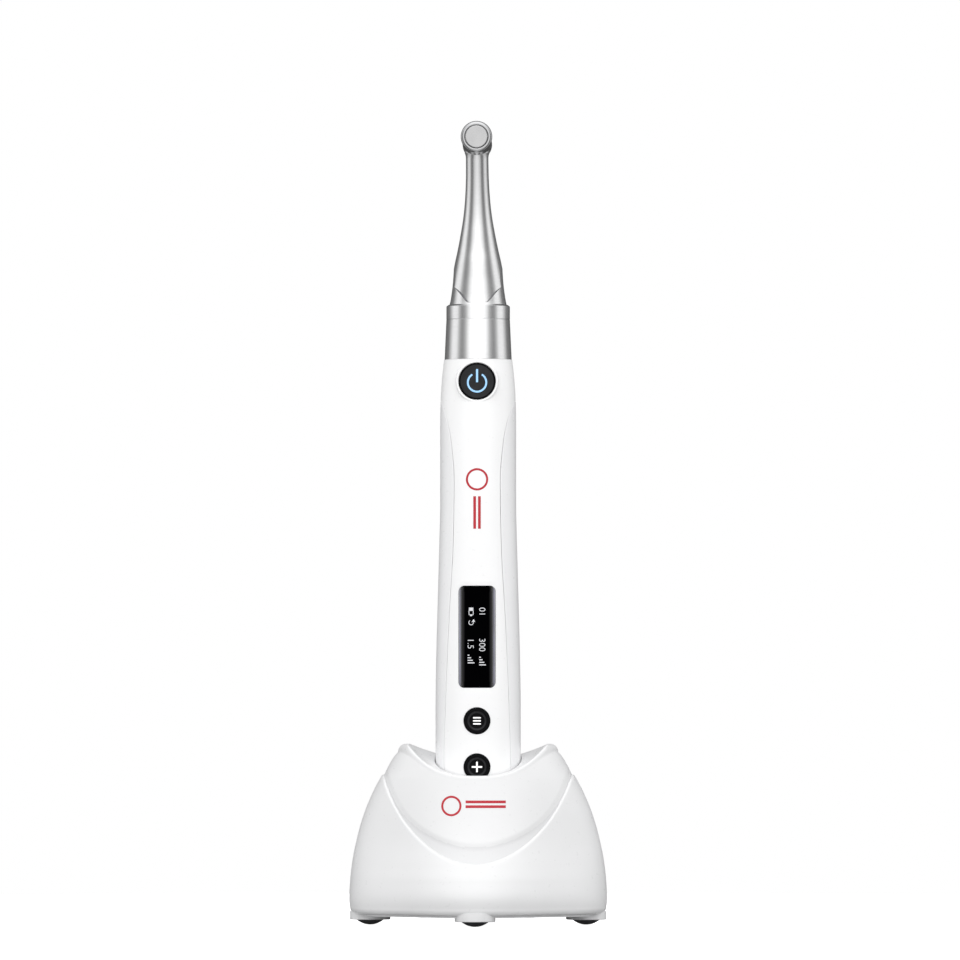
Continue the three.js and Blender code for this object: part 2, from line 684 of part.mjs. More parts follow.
function buildStandBase(group) {
  let plate = standLoft([2.6, 4.4], -STAND_WALL - 0.4, 32);
  const feet = [
    ['left', -FOOT_PITCH_X, 0], ['right', FOOT_PITCH_X, 0],
    ['front', 0, -FOOT_PITCH_Y], ['back', 0, FOOT_PITCH_Y],
  ];
  for (const [, x, y] of feet) {
    plate = plate.add(rod(BOSS_RADIUS, BOSS_BOTTOM, SKIRT_BOTTOM - GAP, 24).translate(x, y, 0));
  }
  for (const [, x, y] of feet) {
    plate = plate.subtract(rod(2.0 + GAP, 0, 3.4, 12).translate(x, y, 0));
  }
  let ballast = plateXY(roundedOutline(46, 32, 6), 4.6, 8.6, 4);
  for (const [label, x, y] of SCREWS) {
    plate = plate.subtract(rod(2.4, 0, 3.5, 12).translate(x, y, 0));
    plate = plate.subtract(rod(1.3, 0, 6, 12).translate(x, y, 0));
    ballast = ballast.subtract(rod(1.3, 0, 12, 12).translate(x, y, 0));
    const screw = turned(
      [[0, 2.3], [2.0, 2.3], [2.2, 2.5], [2.2, 3.35], [1.1, 3.35], [1.1, 9.4], [0, 9.8]],
      12
    ).subtract(block(3.2, 0.5, 0.8, 0, 0, 2.3)).subtract(block(0.5, 3.2, 0.8, 0, 0, 2.3));
    add(group, `base_screw_${label}`, screw.translate(x, y, 0), STEEL);
  }
  add(group, 'bottom_plate', plate, WHITE);
  for (const [label, x, y] of feet) {
    const foot = turned(
      [
        [0, 0], [1.6, 0], [3.0, 0.45], [3.9, 1.1], [FOOT_RADIUS, BOSS_BOTTOM - GAP],
        [2.0, BOSS_BOTTOM - GAP], [2.0, 3.2], [0, 3.2],
      ],
      16
    );
    add(group, `foot_${label}`, foot.translate(x, y, 0), RUBBER);
  }
  add(group, 'ballast_plate', ballast, STEEL);
  const board = block(24, 20, 1.4, 0, 0, 12.6);
  add(group, 'charge_board', board, BOARD);
  for (const [side, label] of [[-1, 'left'], [1, 'right']]) {
    const pin = turned(
      [[0, 14.4], [1.8, 14.4], [1.8, 15.2], [1.0, 15.2], [1.0, 19.6], [0.6, 20.2], [0, 20.2]],
      16
    );
    add(group, `charge_pin_${label}`, pin.translate(side * CONTACT_X, 0, 0), BRASS);
  }
  const inlet = block(11, 9, 8, 0, 24, INLET_Z).add(rodY(3.7, 28, 34.4, 24).translate(0, 0, INLET_Z))
    .subtract(rodY(2.75, 24, 40, 16).translate(0, 0, INLET_Z))
    .add(rodY(0.7, 23, 33, 8).translate(0, 0, INLET_Z));
  add(group, 'power_inlet', inlet, POLYMER);
}

buildHandle(parts);
buildControls(parts);
buildMotor(parts);
buildNeckShell(parts);
buildHeadParts(parts);
buildDriveTrain(parts);
buildSleeve(parts);
buildStandShells(parts);
buildStandBase(parts);

export default parts;
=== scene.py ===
"""Looks of a cordless endodontic motor on its charging stand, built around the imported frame."""
import json
import math

import bmesh
import bpy
from mathutils import Matrix, Vector


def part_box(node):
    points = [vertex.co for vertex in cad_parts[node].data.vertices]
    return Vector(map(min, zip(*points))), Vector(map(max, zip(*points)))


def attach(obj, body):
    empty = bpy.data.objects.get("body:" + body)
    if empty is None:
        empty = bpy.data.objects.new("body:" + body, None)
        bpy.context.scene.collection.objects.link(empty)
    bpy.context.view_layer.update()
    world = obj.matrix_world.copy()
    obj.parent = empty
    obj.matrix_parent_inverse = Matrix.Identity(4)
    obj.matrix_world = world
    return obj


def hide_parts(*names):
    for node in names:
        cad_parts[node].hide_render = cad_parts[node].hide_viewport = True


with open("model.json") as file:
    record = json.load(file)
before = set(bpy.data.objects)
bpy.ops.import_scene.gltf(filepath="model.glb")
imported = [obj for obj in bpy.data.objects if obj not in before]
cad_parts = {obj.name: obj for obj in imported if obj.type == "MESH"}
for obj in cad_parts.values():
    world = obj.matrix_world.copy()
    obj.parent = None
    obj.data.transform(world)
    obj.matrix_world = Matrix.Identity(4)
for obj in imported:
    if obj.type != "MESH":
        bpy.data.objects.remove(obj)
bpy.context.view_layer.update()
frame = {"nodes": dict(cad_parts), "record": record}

# ------------------------------------------------------------------ sizes, in millimetres

MM = 0.001
HANDLE_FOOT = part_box("end_cap")[0].z / MM
CAP_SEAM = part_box("rear_shell")[0].z / MM
HANDLE_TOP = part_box("front_cover")[1].z / MM
TOP_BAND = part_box("rear_shell")[1].z / MM + 0.15
SEAM_GAP = 0.13
PANEL = 1.5                  # wall of the handle's shells
ROUNDED_EDGE = 0.32          # width of the rear shell's rounded edge
EDGE_PULL = 0.16             # how far that edge is pulled in
SMALL_BUTTON_RADIUS = 3.85
POWER_BUTTON_RADIUS = 5.35
BUTTON_RADII = {
    "program_button": SMALL_BUTTON_RADIUS, "plus_button": SMALL_BUTTON_RADIUS,
    "minus_button": SMALL_BUTTON_RADIUS, "power_button": POWER_BUTTON_RADIUS,
}
CONTACT_X = 4.5              # charging contacts and pins, from the middle
FIGURE_SIZE = 2.65
UPPER_LINE = 0.66            # x of the two lines of the readout
LOWER_LINE = -2.75
MARK_STROKE = 0.62

SLEEVE_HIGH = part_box("sleeve")[1].z / MM
COLLAR_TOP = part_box("collar_ring")[1].z / MM + 0.6
RING_LOW, RING_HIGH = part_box("head_cap_ring")
HEAD_Z = (RING_LOW.z + RING_HIGH.z) / 2 / MM
HEAD_RADIUS = (RING_HIGH.z - RING_LOW.z) / 2 / MM + 0.05
LEAN = math.radians(14)
BEND_Z = 187.0
HEAD_Y = -(HEAD_Z - BEND_Z) * math.tan(LEAN)
HEAD_TILT = math.radians(-10)
BLANK_TOP = 195.2            # the turned blank ends here on the neck

STAND_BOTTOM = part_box("base_shell")[0].z / MM
POCKET_CLEARANCE = 0.6
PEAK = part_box("cradle")[1].z / MM
FRONT_RIM = 44.1
BACK_RIM = 48.6
RIM_HALF_WIDTH = 20.5
SEAM_HALF_WIDTH = 28.6
BULGE_HALF_WIDTH = 27.4
POCKET_SECTION = 45          # the pocket keeps the handle's section at this height above it
STAND_WALL = 2.0
LOBE = 0.13
STAND_COLUMNS = 288
CRADLE_INSET = -0.3          # the cradle's face lies this far behind the stand's outline
BOSS_RADIUS = 6.0
INLET_Z = 11.0
FLOOR_RADIUS = 450


# ------------------------------------------------------------------ small maths

def lerp(a, b, t):
    return a + (b - a) * t


def clamp(value, low=0.0, high=1.0):
    return max(low, min(high, value))


def smooth(low, high, value):
    t = clamp((value - low) / (high - low))
    return t * t * (3 - 2 * t)


def power(value, exponent):
    return math.copysign(abs(value) ** exponent, value)


def profile_of(rows):
    """A smooth curve through (height, value) rows, as a function of height (monotone cubic)."""
    zs = [r[0] for r in rows]
    vs = [r[1] for r in rows]
    slopes = [(vs[i + 1] - vs[i]) / (zs[i + 1] - zs[i]) for i in range(len(rows) - 1)]
    tangents = [slopes[0]]
    for a, b in zip(slopes, slopes[1:]):
        tangents.append(0.0 if a * b <= 0 else 2 * a * b / (a + b))
    tangents.append(slopes[-1])

    def value(z):
        z = clamp(z, zs[0], zs[-1])
        i = max(k for k in range(len(zs) - 1) if zs[k] <= z)
        step = zs[i + 1] - zs[i]
        t = (z - zs[i]) / step
        near = (1 + 2 * t) * (1 - t) ** 2 * vs[i] + t * (1 - t) ** 2 * step * tangents[i]
        far = t * t * (3 - 2 * t) * vs[i + 1] - t * t * (1 - t) * step * tangents[i + 1]
        return near + far

    return value


def arc(cx, cy, radius, start, end, steps):
    """Points on a circle arc, angles in degrees."""
    angles = [math.radians(lerp(start, end, i / steps)) for i in range(steps + 1)]
    return [(cx + radius * math.cos(a), cy + radius * math.sin(a)) for a in angles]


def halve(low, high, is_below, steps=40):
    """The value between two bounds where a test turns false, found by halving."""
    for _ in range(steps):
        middle = (low + high) / 2
        if is_below(middle):
            low = middle
        else:
            high = middle
    return (low + high) / 2


# ------------------------------------------------------------------ mesh helpers

def new_object(name, vertices, faces, material, sharp_angle=35):
    """A mesh object from millimetre vertices, smooth except at edges sharper than the angle."""
    mesh = bpy.data.meshes.new(name)
    mesh.from_pydata([(x * MM, y * MM, z * MM) for x, y, z in vertices], [], faces)
    mesh.validate()
    obj = bpy.data.objects.new(name, mesh)
    bpy.context.collection.objects.link(obj)
    obj.data.materials.append(material)
    clean(obj, sharp_angle)
    return obj


def clean(obj, sharp_angle=35):
    """Merges doubled points, turns faces outwards and sets the smooth shading."""
    work = bmesh.new()
    work.from_mesh(obj.data)
    bmesh.ops.remove_doubles(work, verts=work.verts, dist=1e-7)
    bmesh.ops.recalc_face_normals(work, faces=work.faces)
    work.to_mesh(obj.data)
    work.free()
    shade(obj, sharp_angle)


def shade(obj, sharp_angle):
    obj.data.shade_smooth()
    obj.data.set_sharp_from_angle(angle=math.radians(sharp_angle))


def paint(obj, material, wanted):
    """Gives another material to the faces whose centre, at (x, z) in millimetres, passes the test."""
    obj.data.materials.append(material)
    slot = len(obj.data.materials) - 1
    for polygon in obj.data.polygons:
        if wanted(polygon.center.x / MM, polygon.center.z / MM):
            polygon.material_index = slot


def grid_faces(rows, columns, wrap):
    faces = []
    last = columns if wrap else columns - 1
    for r in range(rows - 1):
        for c in range(last):
            d = (c + 1) % columns
            faces.append((r * columns + c, r * columns + d, (r + 1) * columns + d, (r + 1) * columns + c))
    return faces


def loft(name, rings, material, cap_start=True, cap_end=True, wrap=True, sharp_angle=35):
    """Skins rings of points; closed rings can be capped."""
    columns = len(rings[0])
    vertices = [p for ring in rings for p in ring]
    faces = grid_faces(len(rings), columns, wrap)
    if wrap and cap_start:
        faces.append(tuple(range(columns))[::-1])
    if wrap and cap_end:
        first = (len(rings) - 1) * columns
        faces.append(tuple(range(first, first + columns)))
    return new_object(name, vertices, faces, material, sharp_angle)


def turn_points(profile, segments, place=None):
    """Rings of a solid of revolution about Z from (radius, height) points."""
    rings = []
    for radius, height in profile:
        ring = []
        for i in range(segments):
            angle = math.tau * i / segments
            point = Vector((radius * math.cos(angle), radius * math.sin(angle), height))
            ring.append(tuple(place @ point) if place else tuple(point))
        rings.append(ring)
    return rings


def lathe(name, profile, material, place=None, segments=96, closed=False, sharp_angle=30):
    """A solid of revolution. A closed profile is a ring; an open one is capped at its ends."""
    rings = turn_points(profile, segments, place)
    if closed:
        rings = rings + [rings[0]]
    return loft(name, rings, material, not closed, not closed, True, sharp_angle)


def facing_front(x, y, z):
    """Turns a lathe so that its +Z runs towards +Y, into the object, from a point."""
    return Matrix.Translation((x, y, z)) @ Matrix.Rotation(-math.pi / 2, 4, "X")


def prism(name, outline, y_low, y_high, material):
    """A plate with an (x, z) outline between two y values."""
    rings = [[(x, y, z) for x, z in outline] for y in (y_low, y_high)]
    return loft(name, rings, material)


def rounded_rectangle(width, height, corner, steps=10, inset=0.0):
    w, h = width / 2 - corner, height / 2 - corner
    r = max(corner - inset, 0.02)
    if inset > corner:
        w, h = width / 2 - inset, height / 2 - inset
    corners = [(w, -h, -90), (w, h, 0), (-w, h, 90), (-w, -h, 180)]
    return [p for cx, cy, a in corners for p in arc(cx, cy, r, a, a + 90, steps)]


def carve(obj, cutter, operation="DIFFERENCE", sharp_angle=35):
    """Applies a boolean and removes the cutter."""
    modifier = obj.modifiers.new("cut", "BOOLEAN")
    modifier.operation = operation
    modifier.solver = "EXACT"
    modifier.material_mode = "TRANSFER"
    modifier.object = cutter
    apply_modifiers(obj)
    bpy.data.objects.remove(cutter)
    shade(obj, sharp_angle)


def apply_modifiers(obj):
    graph = bpy.context.evaluated_depsgraph_get()
    graph.update()
    result = bpy.data.meshes.new_from_object(obj.evaluated_get(graph))
    obj.modifiers.clear()
    obj.data = result


def place(obj, body, *nodes):
    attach(obj, body)
    if nodes:
        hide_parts(*nodes)
    return obj


# ------------------------------------------------------------------ materials

def feed(tree, socket, value):
    """Links an output to a socket, or sets the socket to a plain value."""
    if isinstance(value, bpy.types.NodeSocket):
        tree.links.new(value, socket)
    else:
        socket.default_value = value


def math_node(tree, operation, first, second=0.0):
    node = tree.nodes.new("ShaderNodeMath")
    node.operation = operation
    feed(tree, node.inputs[0], first)
    feed(tree, node.inputs[1], second)
    return node.outputs[0]


def map_range(tree, value, from_low, from_high, to_low, to_high):
    node = tree.nodes.new("ShaderNodeMapRange")
    tree.links.new(value, node.inputs["Value"])
    node.inputs["From Min"].default_value = from_low
    node.inputs["From Max"].default_value = from_high
    node.inputs["To Min"].default_value = to_low
    node.inputs["To Max"].default_value = to_high
    return node.outputs["Result"]


def mix_node(tree, share, first, second):
    node = tree.nodes.new("ShaderNodeMix")
    node.data_type = "FLOAT"
    feed(tree, node.inputs["Factor"], share)
    feed(tree, node.inputs["A"], first)
    feed(tree, node.inputs["B"], second)
    return node.outputs["Result"]


class Shader:
    """A Principled material with helpers for procedural colour, roughness and bump."""

    def __init__(self, name, color, roughness, metallic=0.0):
        self.material = bpy.data.materials.new(name)
        self.material.use_nodes = True
        self.material.diffuse_color = (*color, 1)
        self.tree = self.material.node_tree
        self.main = self.tree.nodes["Principled BSDF"]
        self.main.inputs["Base Color"].default_value = (*color, 1)
        self.main.inputs["Roughness"].default_value = roughness
        self.main.inputs["Metallic"].default_value = metallic
        self.color = color
        self.coordinates = self.tree.nodes.new("ShaderNodeTexCoord").outputs["Object"]
        self.last_normal = None

    def set(self, socket, value):
        self.main.inputs[socket].default_value = value
        return self

    def noise(self, scale, stretch=(1, 1, 1), detail=3.0):
        mapping = self.tree.nodes.new("ShaderNodeMapping")
        mapping.inputs["Scale"].default_value = stretch
        texture = self.tree.nodes.new("ShaderNodeTexNoise")
        texture.inputs["Scale"].default_value = scale
        texture.inputs["Detail"].default_value = detail
        self.tree.links.new(self.coordinates, mapping.inputs["Vector"])
        self.tree.links.new(mapping.outputs["Vector"], texture.inputs["Vector"])
        return texture.outputs["Fac"]

    def mottled(self, field, other):
        """Base colour drifts towards another colour with a noise field."""
        ramp = self.tree.nodes.new("ShaderNodeValToRGB")
        ramp.color_ramp.elements[0].position = 0.35
        ramp.color_ramp.elements[1].position = 0.65
        ramp.color_ramp.elements[0].color = (*self.color, 1)
        ramp.color_ramp.elements[1].color = (*other, 1)
        self.tree.links.new(field, ramp.inputs["Fac"])
        self.tree.links.new(ramp.outputs["Color"], self.main.inputs["Base Color"])
        return self

    def rough(self, field, low, high):
        spread = map_range(self.tree, field, 0.3, 0.7, low, high)
        self.tree.links.new(spread, self.main.inputs["Roughness"])
        return self

    def bump(self, field, depth, strength=1.0):
        """Adds a relief of the given depth in metres."""
        node = self.tree.nodes.new("ShaderNodeBump")
        node.inputs["Strength"].default_value = strength
        node.inputs["Distance"].default_value = depth
        self.tree.links.new(field, node.inputs["Height"])
        if self.last_normal:
            self.tree.links.new(self.last_normal, node.inputs["Normal"])
        self.last_normal = node.outputs["Normal"]
        self.tree.links.new(self.last_normal, self.main.inputs["Normal"])
        return self


def white_plastic(name, color):
    s = Shader(name, color, 0.32)
    darker = tuple(c * 0.985 for c in color)
    s.mottled(s.noise(60), darker).rough(s.noise(900), 0.27, 0.36)
    s.bump(s.noise(2600, detail=2), 0.000006, 0.35)
    return s.set("IOR", 1.47).material


def brushed_metal(name, color, low, high, stretch):
    """Fine brushing that runs round the part: streaks are short along the axis and long across it."""
    s = Shader(name, color, (low + high) / 2, 1.0)
    streaks = s.noise(260, stretch, detail=6)
    darker = tuple(c * 0.975 for c in color)
    s.mottled(streaks, darker).rough(streaks, low, high)
    s.bump(streaks, 0.000004, 0.12)
    return s.material


def black_plastic(name, color):
    s = Shader(name, color, 0.34)
    s.mottled(s.noise(400), tuple(c * 1.3 for c in color)).rough(s.noise(1500), 0.3, 0.42)
    s.bump(s.noise(5000, detail=2), 0.000004, 0.4)
    return s.set("IOR", 1.13).material


def window_glass(shine, painted_reflection_grey):
    """Black glass, dull in its flat middle and paler along its rolled edges: a step's specular level sets
    its shine, and the grey base colour of the outer steps is a painted reflection.
    """
    s = Shader(f"window_glass_painted_reflection_{round(shine * 100)}", (painted_reflection_grey, painted_reflection_grey, painted_reflection_grey * 1.3), 0.12)
    s.mottled(s.noise(120), (painted_reflection_grey * 1.5, painted_reflection_grey * 1.5, painted_reflection_grey * 2)).rough(s.noise(500), 0.1, 0.15)
    return s.set("IOR", 2.6).set("Specular IOR Level", shine).material


def soft_rubber():
    s = Shader("foot_rubber", (0.022, 0.023, 0.025), 0.6)
    s.mottled(s.noise(700), (0.03, 0.031, 0.034)).rough(s.noise(1500), 0.5, 0.7)
    s.bump(s.noise(3000), 0.00002, 0.4)
    return s.material


def printed(name, color, glow=0.0):
    s = Shader(name, color, 0.4)
    s.mottled(s.noise(1500), tuple(c * 0.94 for c in color)).rough(s.noise(2500), 0.35, 0.5)
    if glow:
        s.set("Emission Color", (*color, 1)).set("Emission Strength", glow)
    return s.material


def plain(name, color, roughness, metallic=0.0, scale=800):
    s = Shader(name, color, roughness, metallic)
    s.mottled(s.noise(scale), tuple(c * 0.88 for c in color))
    s.rough(s.noise(scale * 2), roughness * 0.85, roughness * 1.15)
    s.bump(s.noise(scale * 4), 0.000008, 0.3)
    return s.material


WHITE = white_plastic("front_white_plastic", (0.93, 0.932, 0.935))
# A darker copy of the front white for the rear shell and the end cap: painted shade on the sides of the
# handle.
SIDE_WHITE_PAINTED_SHADE = white_plastic("side_white_painted_shade", (0.87, 0.872, 0.88))
STAND_WHITE = white_plastic("stand_white_plastic", (0.81, 0.812, 0.818))
# A darker copy of the stand white for the cradle's band below the bulge: painted shade in that recess.
BAND_WHITE_PAINTED_SHADE = white_plastic("stand_band_painted_shade", (0.74, 0.742, 0.75))
AROUND = (1, 1, 14)
SATIN = brushed_metal("satin_steel", (0.86, 0.862, 0.868), 0.2, 0.25, AROUND)
BRIGHT = brushed_metal("polished_steel", (0.86, 0.862, 0.868), 0.09, 0.14, AROUND)
RING_METAL = brushed_metal("head_ring_steel", (0.46, 0.462, 0.468), 0.14, 0.2, (1, 1, 1))
KEY_METAL = brushed_metal("head_button_metal", (0.46, 0.46, 0.462), 0.34, 0.4, (1, 1, 1))
# A darker copy of the steel for the head body: painted shade standing in for its dark reflection under the
# head.
HEAD_STEEL_PAINTED_SHADE = brushed_metal("head_body_steel_painted_shade", (0.6, 0.602, 0.608), 0.1, 0.15, AROUND)
# Dark steel for the ledge under the U-shaped step: painted shade in the step.
LEDGE_PAINTED_SHADE = plain("ledge_painted_shade", (0.16, 0.161, 0.165), 0.5, 1.0)
BLACK = black_plastic("black_button_plastic", (0.0028, 0.0029, 0.0034))
# A lighter copy of the button black for the sloped dish ring of the small keys and the power key's face:
# painted sheen.
DISH_BLACK_PAINTED_SHEEN = black_plastic("black_button_dish_painted_sheen", (0.024, 0.0245, 0.026))
# Steps of (specular level, base grey): the grey of the two outer steps is a painted reflection on the rolled
# edges.
GLASS_SHINE_AND_PAINTED_REFLECTION = ((0.0, 0.0006), (0.01, 0.0006), (0.04, 0.0006), (0.26, 0.0006), (0.55, 0.12), (1.0, 0.17))
GLASSES = [window_glass(shine, painted_reflection_grey) for shine, painted_reflection_grey in GLASS_SHINE_AND_PAINTED_REFLECTION]
RUBBER = soft_rubber()
# The icons printed on the keys are given an emission: painted light, since they are no lamp.
ICON_WHITE_PAINTED_GLOW = printed("icon_white_painted_glow", (0.92, 0.92, 0.92), 0.35)
ICON_BLUE_PAINTED_GLOW = printed("icon_blue_painted_glow", (0.3, 0.55, 0.84), 0.35)
READOUT = printed("readout_white", (0.62, 0.63, 0.65), 0.22)
MARK_RED = printed("mark_red", (0.5, 0.008, 0.022))
STEEL = plain("machined_steel", (0.5, 0.51, 0.53), 0.32, 1.0)
CONTACT = plain("gold_contact", (0.78, 0.56, 0.2), 0.25, 1.0)
BOARD = plain("board_green", (0.02, 0.12, 0.06), 0.5)
CELL = plain("cell_wrap_blue", (0.05, 0.13, 0.4), 0.4)
POLYMER = plain("dark_polymer", (0.03, 0.031, 0.034), 0.55)

CAD_LOOKS = {
    "white_plastic": STAND_WHITE, "satin_metal": SATIN, "bright_metal": BRIGHT, "button_metal": KEY_METAL,
    "black_plastic": BLACK, "black_window": GLASSES[0], "foot_rubber": RUBBER, "steel": STEEL,
    "contact_brass": CONTACT, "board": BOARD, "cell_wrap": CELL, "dark_polymer": POLYMER,
}


def finish_cad_nodes():
    """Every CAD node gets the finish of its slot, also the ones that a piece replaces."""
    for part in frame["record"]["subparts"]:
        obj = frame["nodes"][part["node"]]
        obj.data.materials.clear()
        obj.data.materials.append(CAD_LOOKS[part["material_slot"]])


# ------------------------------------------------------------------ handle

half_width = profile_of([
    (20, 11.5), (24, 12.25), (35, 12.5), (50, 12.6), (65, 12.6), (78, 12.42), (89, 12.15),
    (101, 11.82), (113, 11.5), (125, 11.25), (148.5, 11.25), (155, 11.13), (160.5, 10.82), (167.4, 10.1),
])
front_depth = profile_of([
    (20, 10.6), (24, 11.3), (50, 11.5), (89, 11.0), (116, 10.6), (142, 10.6), (155, 10.4), (167.4, 9.95),
])
back_depth = profile_of([
    (20, 12.4), (24, 13.2), (50, 13.6), (89, 12.9), (116, 12.3), (142, 11.7), (155, 11.0), (167.4, 9.95),
])
squareness = profile_of([(20, 2.5), (89, 2.5), (142, 2.2), (155, 2.05), (167.4, 2.0)])
seam_half = profile_of([
    (14, 9.9), (47.7, 9.8), (64.8, 9.4), (89.3, 8.4), (114, 7.1), (131.3, 6.85), (142.6, 7.7),
    (148.7, 8.8), (152.5, 10.0), (154.6, 10.87), (156, 11.0),
])


def handle_point(z, angle, grow=0.0, grow_sideways=None):
    """A point of the handle's section; the angle is 0 at +X and -90 degrees at the front."""
    p = squareness(z)
    c, s = math.cos(angle), math.sin(angle)
    depth = front_depth(z) if s < 0 else back_depth(z)
    sideways = grow if grow_sideways is None else grow_sideways
    return (power(c, 2 / p) * (half_width(z) + sideways), power(s, 2 / p) * (depth + grow), z)


def front_surface(x, z):
    """The y of the handle's front at x."""
    p = squareness(z)
    share = clamp(abs(x) / half_width(z), 0, 0.9999)
    return -front_depth(z) * (1 - share ** p) ** (1 / p)


def seam_angle(z):
    """Section angle, measured from +X towards the front, where the seam runs at this height."""
    share = clamp(seam_half(z) / half_width(z), 0, 1)
    return -math.acos(clamp(share ** (squareness(z) / 2), 0, 1))


def heights(low, high, step):
    count = max(2, round((high - low) / step))
    return [lerp(low, high, i / count) for i in range(count + 1)]


def thicken(obj, depth, sharp_angle=35):
    """Gives a sheet its wall, inwards."""
    modifier = obj.modifiers.new("wall", "SOLIDIFY")
    modifier.thickness = depth * MM
    modifier.offset = -1
    apply_modifiers(obj)
    shade(obj, sharp_angle)


def turn_in(angles, z, edge):
    """The points of one row; the first and last are pulled in for a rounded edge."""
    row = [handle_point(z, a) for a in angles]
    for index in (0, -1):
        x, y, h = row[index]
        radius = math.hypot(x, y)
        row[index] = (x * (1 - edge / radius), y * (1 - edge / radius), h)
    return row


def sheet_rows(zs, start_of, end_of, columns, round_edge):
    rows = []
    for z in zs:
        start, end = start_of(z), end_of(z)
        angles = [lerp(start, end, i / columns) for i in range(columns + 1)]
        if round_edge:
            gap = ROUNDED_EDGE / half_width(z)
            angles = [start, start + gap, *angles[1:-1], end - gap, end]
            rows.append(turn_in(angles, z, EDGE_PULL))
        else:
            rows.append([handle_point(z, a) for a in angles])
    return rows


def gap_angle(z):
    return SEAM_GAP / half_width(z)


def front_cover():
    """A strip down the front that widens into a band all round the top; both share the strip's last row."""
    columns = 72
    joint = TOP_BAND + SEAM_GAP
    strip = sheet_rows(heights(CAP_SEAM, joint, 1.0), lambda z: -math.pi - seam_angle(z) + gap_angle(z),
                       lambda z: seam_angle(z) - gap_angle(z), columns, False)
    end = seam_angle(joint) - gap_angle(joint)
    start = -math.pi - end
    angles = [lerp(start, end, i / columns) for i in range(columns + 1)]
    angles = [-math.pi, (start - math.pi) / 2, *angles, end / 2, 0.0]
    high = heights(joint, HANDLE_TOP, 0.8)
    band_front = [[handle_point(z, a) for a in angles] for z in high]
    band_back = sheet_rows(high, lambda z: 0.0, lambda z: math.pi, columns, False)
    vertices, faces = [], []
    for rows in (strip, band_front, band_back):
        first = len(vertices)
        vertices += [p for row in rows for p in row]
        faces += [tuple(first + i for i in f) for f in grid_faces(len(rows), len(rows[0]), False)]
    cover = new_object("front_cover_skin", vertices, faces, WHITE)
    thicken(cover, PANEL)
    window = rounded_rectangle(11.0, 30.2, 1.75)
    z_mid = (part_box("display_window")[0].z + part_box("display_window")[1].z) / 2 / MM
    carve(cover, prism("window_cutter", [(x, z_mid + z) for x, z in window], -20, -6, WHITE))
    for node in ("program_button", "plus_button", "minus_button", "power_button"):
        z, radius = button_place(node)
        hole = radius + 0.14
        face = front_surface(0, z)
        profile = [(0, -8), (hole + 0.9, -8), (hole, 0.25), (hole, 5), (0, 5)]
        cutter = lathe("hole_cutter", profile, WHITE, facing_front(0, face + 0.1, z), 96)
        carve(cover, cutter)
    return place(cover, "handpiece", "front_cover")


def rear_shell():
    zs = heights(CAP_SEAM, TOP_BAND - SEAM_GAP, 1.0)
    rows = sheet_rows(zs, lambda z: seam_angle(z) + gap_angle(z),
                      lambda z: math.pi - seam_angle(z) - gap_angle(z), 110, True)
    # The sides take the darker white, painted shade.
    shell = loft("rear_shell_skin", rows, SIDE_WHITE_PAINTED_SHADE, wrap=False)
    thicken(shell, PANEL)
    return place(shell, "handpiece", "rear_shell")


def handle_ring(z, grow, columns=144):
    return [handle_point(z, math.tau * i / columns, grow) for i in range(columns)]


def end_cap():
    rings = []
    for depth, lift in arc(1.4, 1.4, 1.4, 270, 180, 8):
        rings.append([(x, y, HANDLE_FOOT + lift) for x, y, _ in handle_ring(HANDLE_FOOT + 1.4, -depth)])
    for z in heights(HANDLE_FOOT + 1.8, CAP_SEAM - 0.28, 0.7):
        rings.append(handle_ring(z, 0))
    rings.append(handle_ring(CAP_SEAM - 0.16, -0.14))
    rings.append(handle_ring(CAP_SEAM - 0.16, -PANEL))
    # The end cap takes the darker white too, painted shade.
    cap = loft("end_cap_skin", rings, SIDE_WHITE_PAINTED_SHADE, cap_end=True)
    for side in (-1, 1):
        hole = lathe("contact_hole", [(0, 18), (2.1, 18), (1.9, 20.4), (1.9, 22.4), (0, 22.4)], WHITE,
                     Matrix.Translation((side * CONTACT_X, 0, 0)), 40)
        carve(cap, hole)
    return place(cap, "handpiece", "end_cap")


# ------------------------------------------------------------------ buttons, display, marks

def button_place(node):
    low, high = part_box(node)
    return (low.z + high.z) / 2 / MM, BUTTON_RADII[node]


def flat_shape(name, outline, z_mid, y, material, depth=0.06):
    """A thin raised shape on a face that looks to the front."""
    return prism(name, [(x, z_mid + z) for x, z in outline], y - depth, y + 0.02, material)


def bar(cx, cz, width, height):
    corner = min(width, height) / 2 * 0.6
    return [(cx + x, cz + z) for x, z in rounded_rectangle(width, height, corner, 4)]


def ring_arc(radius, stroke, start, end, steps=40):
    outer = arc(0, 0, radius, start, end, steps)
    inner = arc(0, 0, radius - stroke, end, start, steps)
    return outer + inner


ICONS = {
    "program_button": [bar(0, 0.9, 2.3, 0.42), bar(0, 0, 2.3, 0.42), bar(0, -0.9, 2.3, 0.42)],
    "plus_button": [bar(0, 0, 3.1, 0.5), bar(0, 0, 0.5, 3.1)],
    "minus_button": [bar(0, 0, 3.1, 0.5)],
}


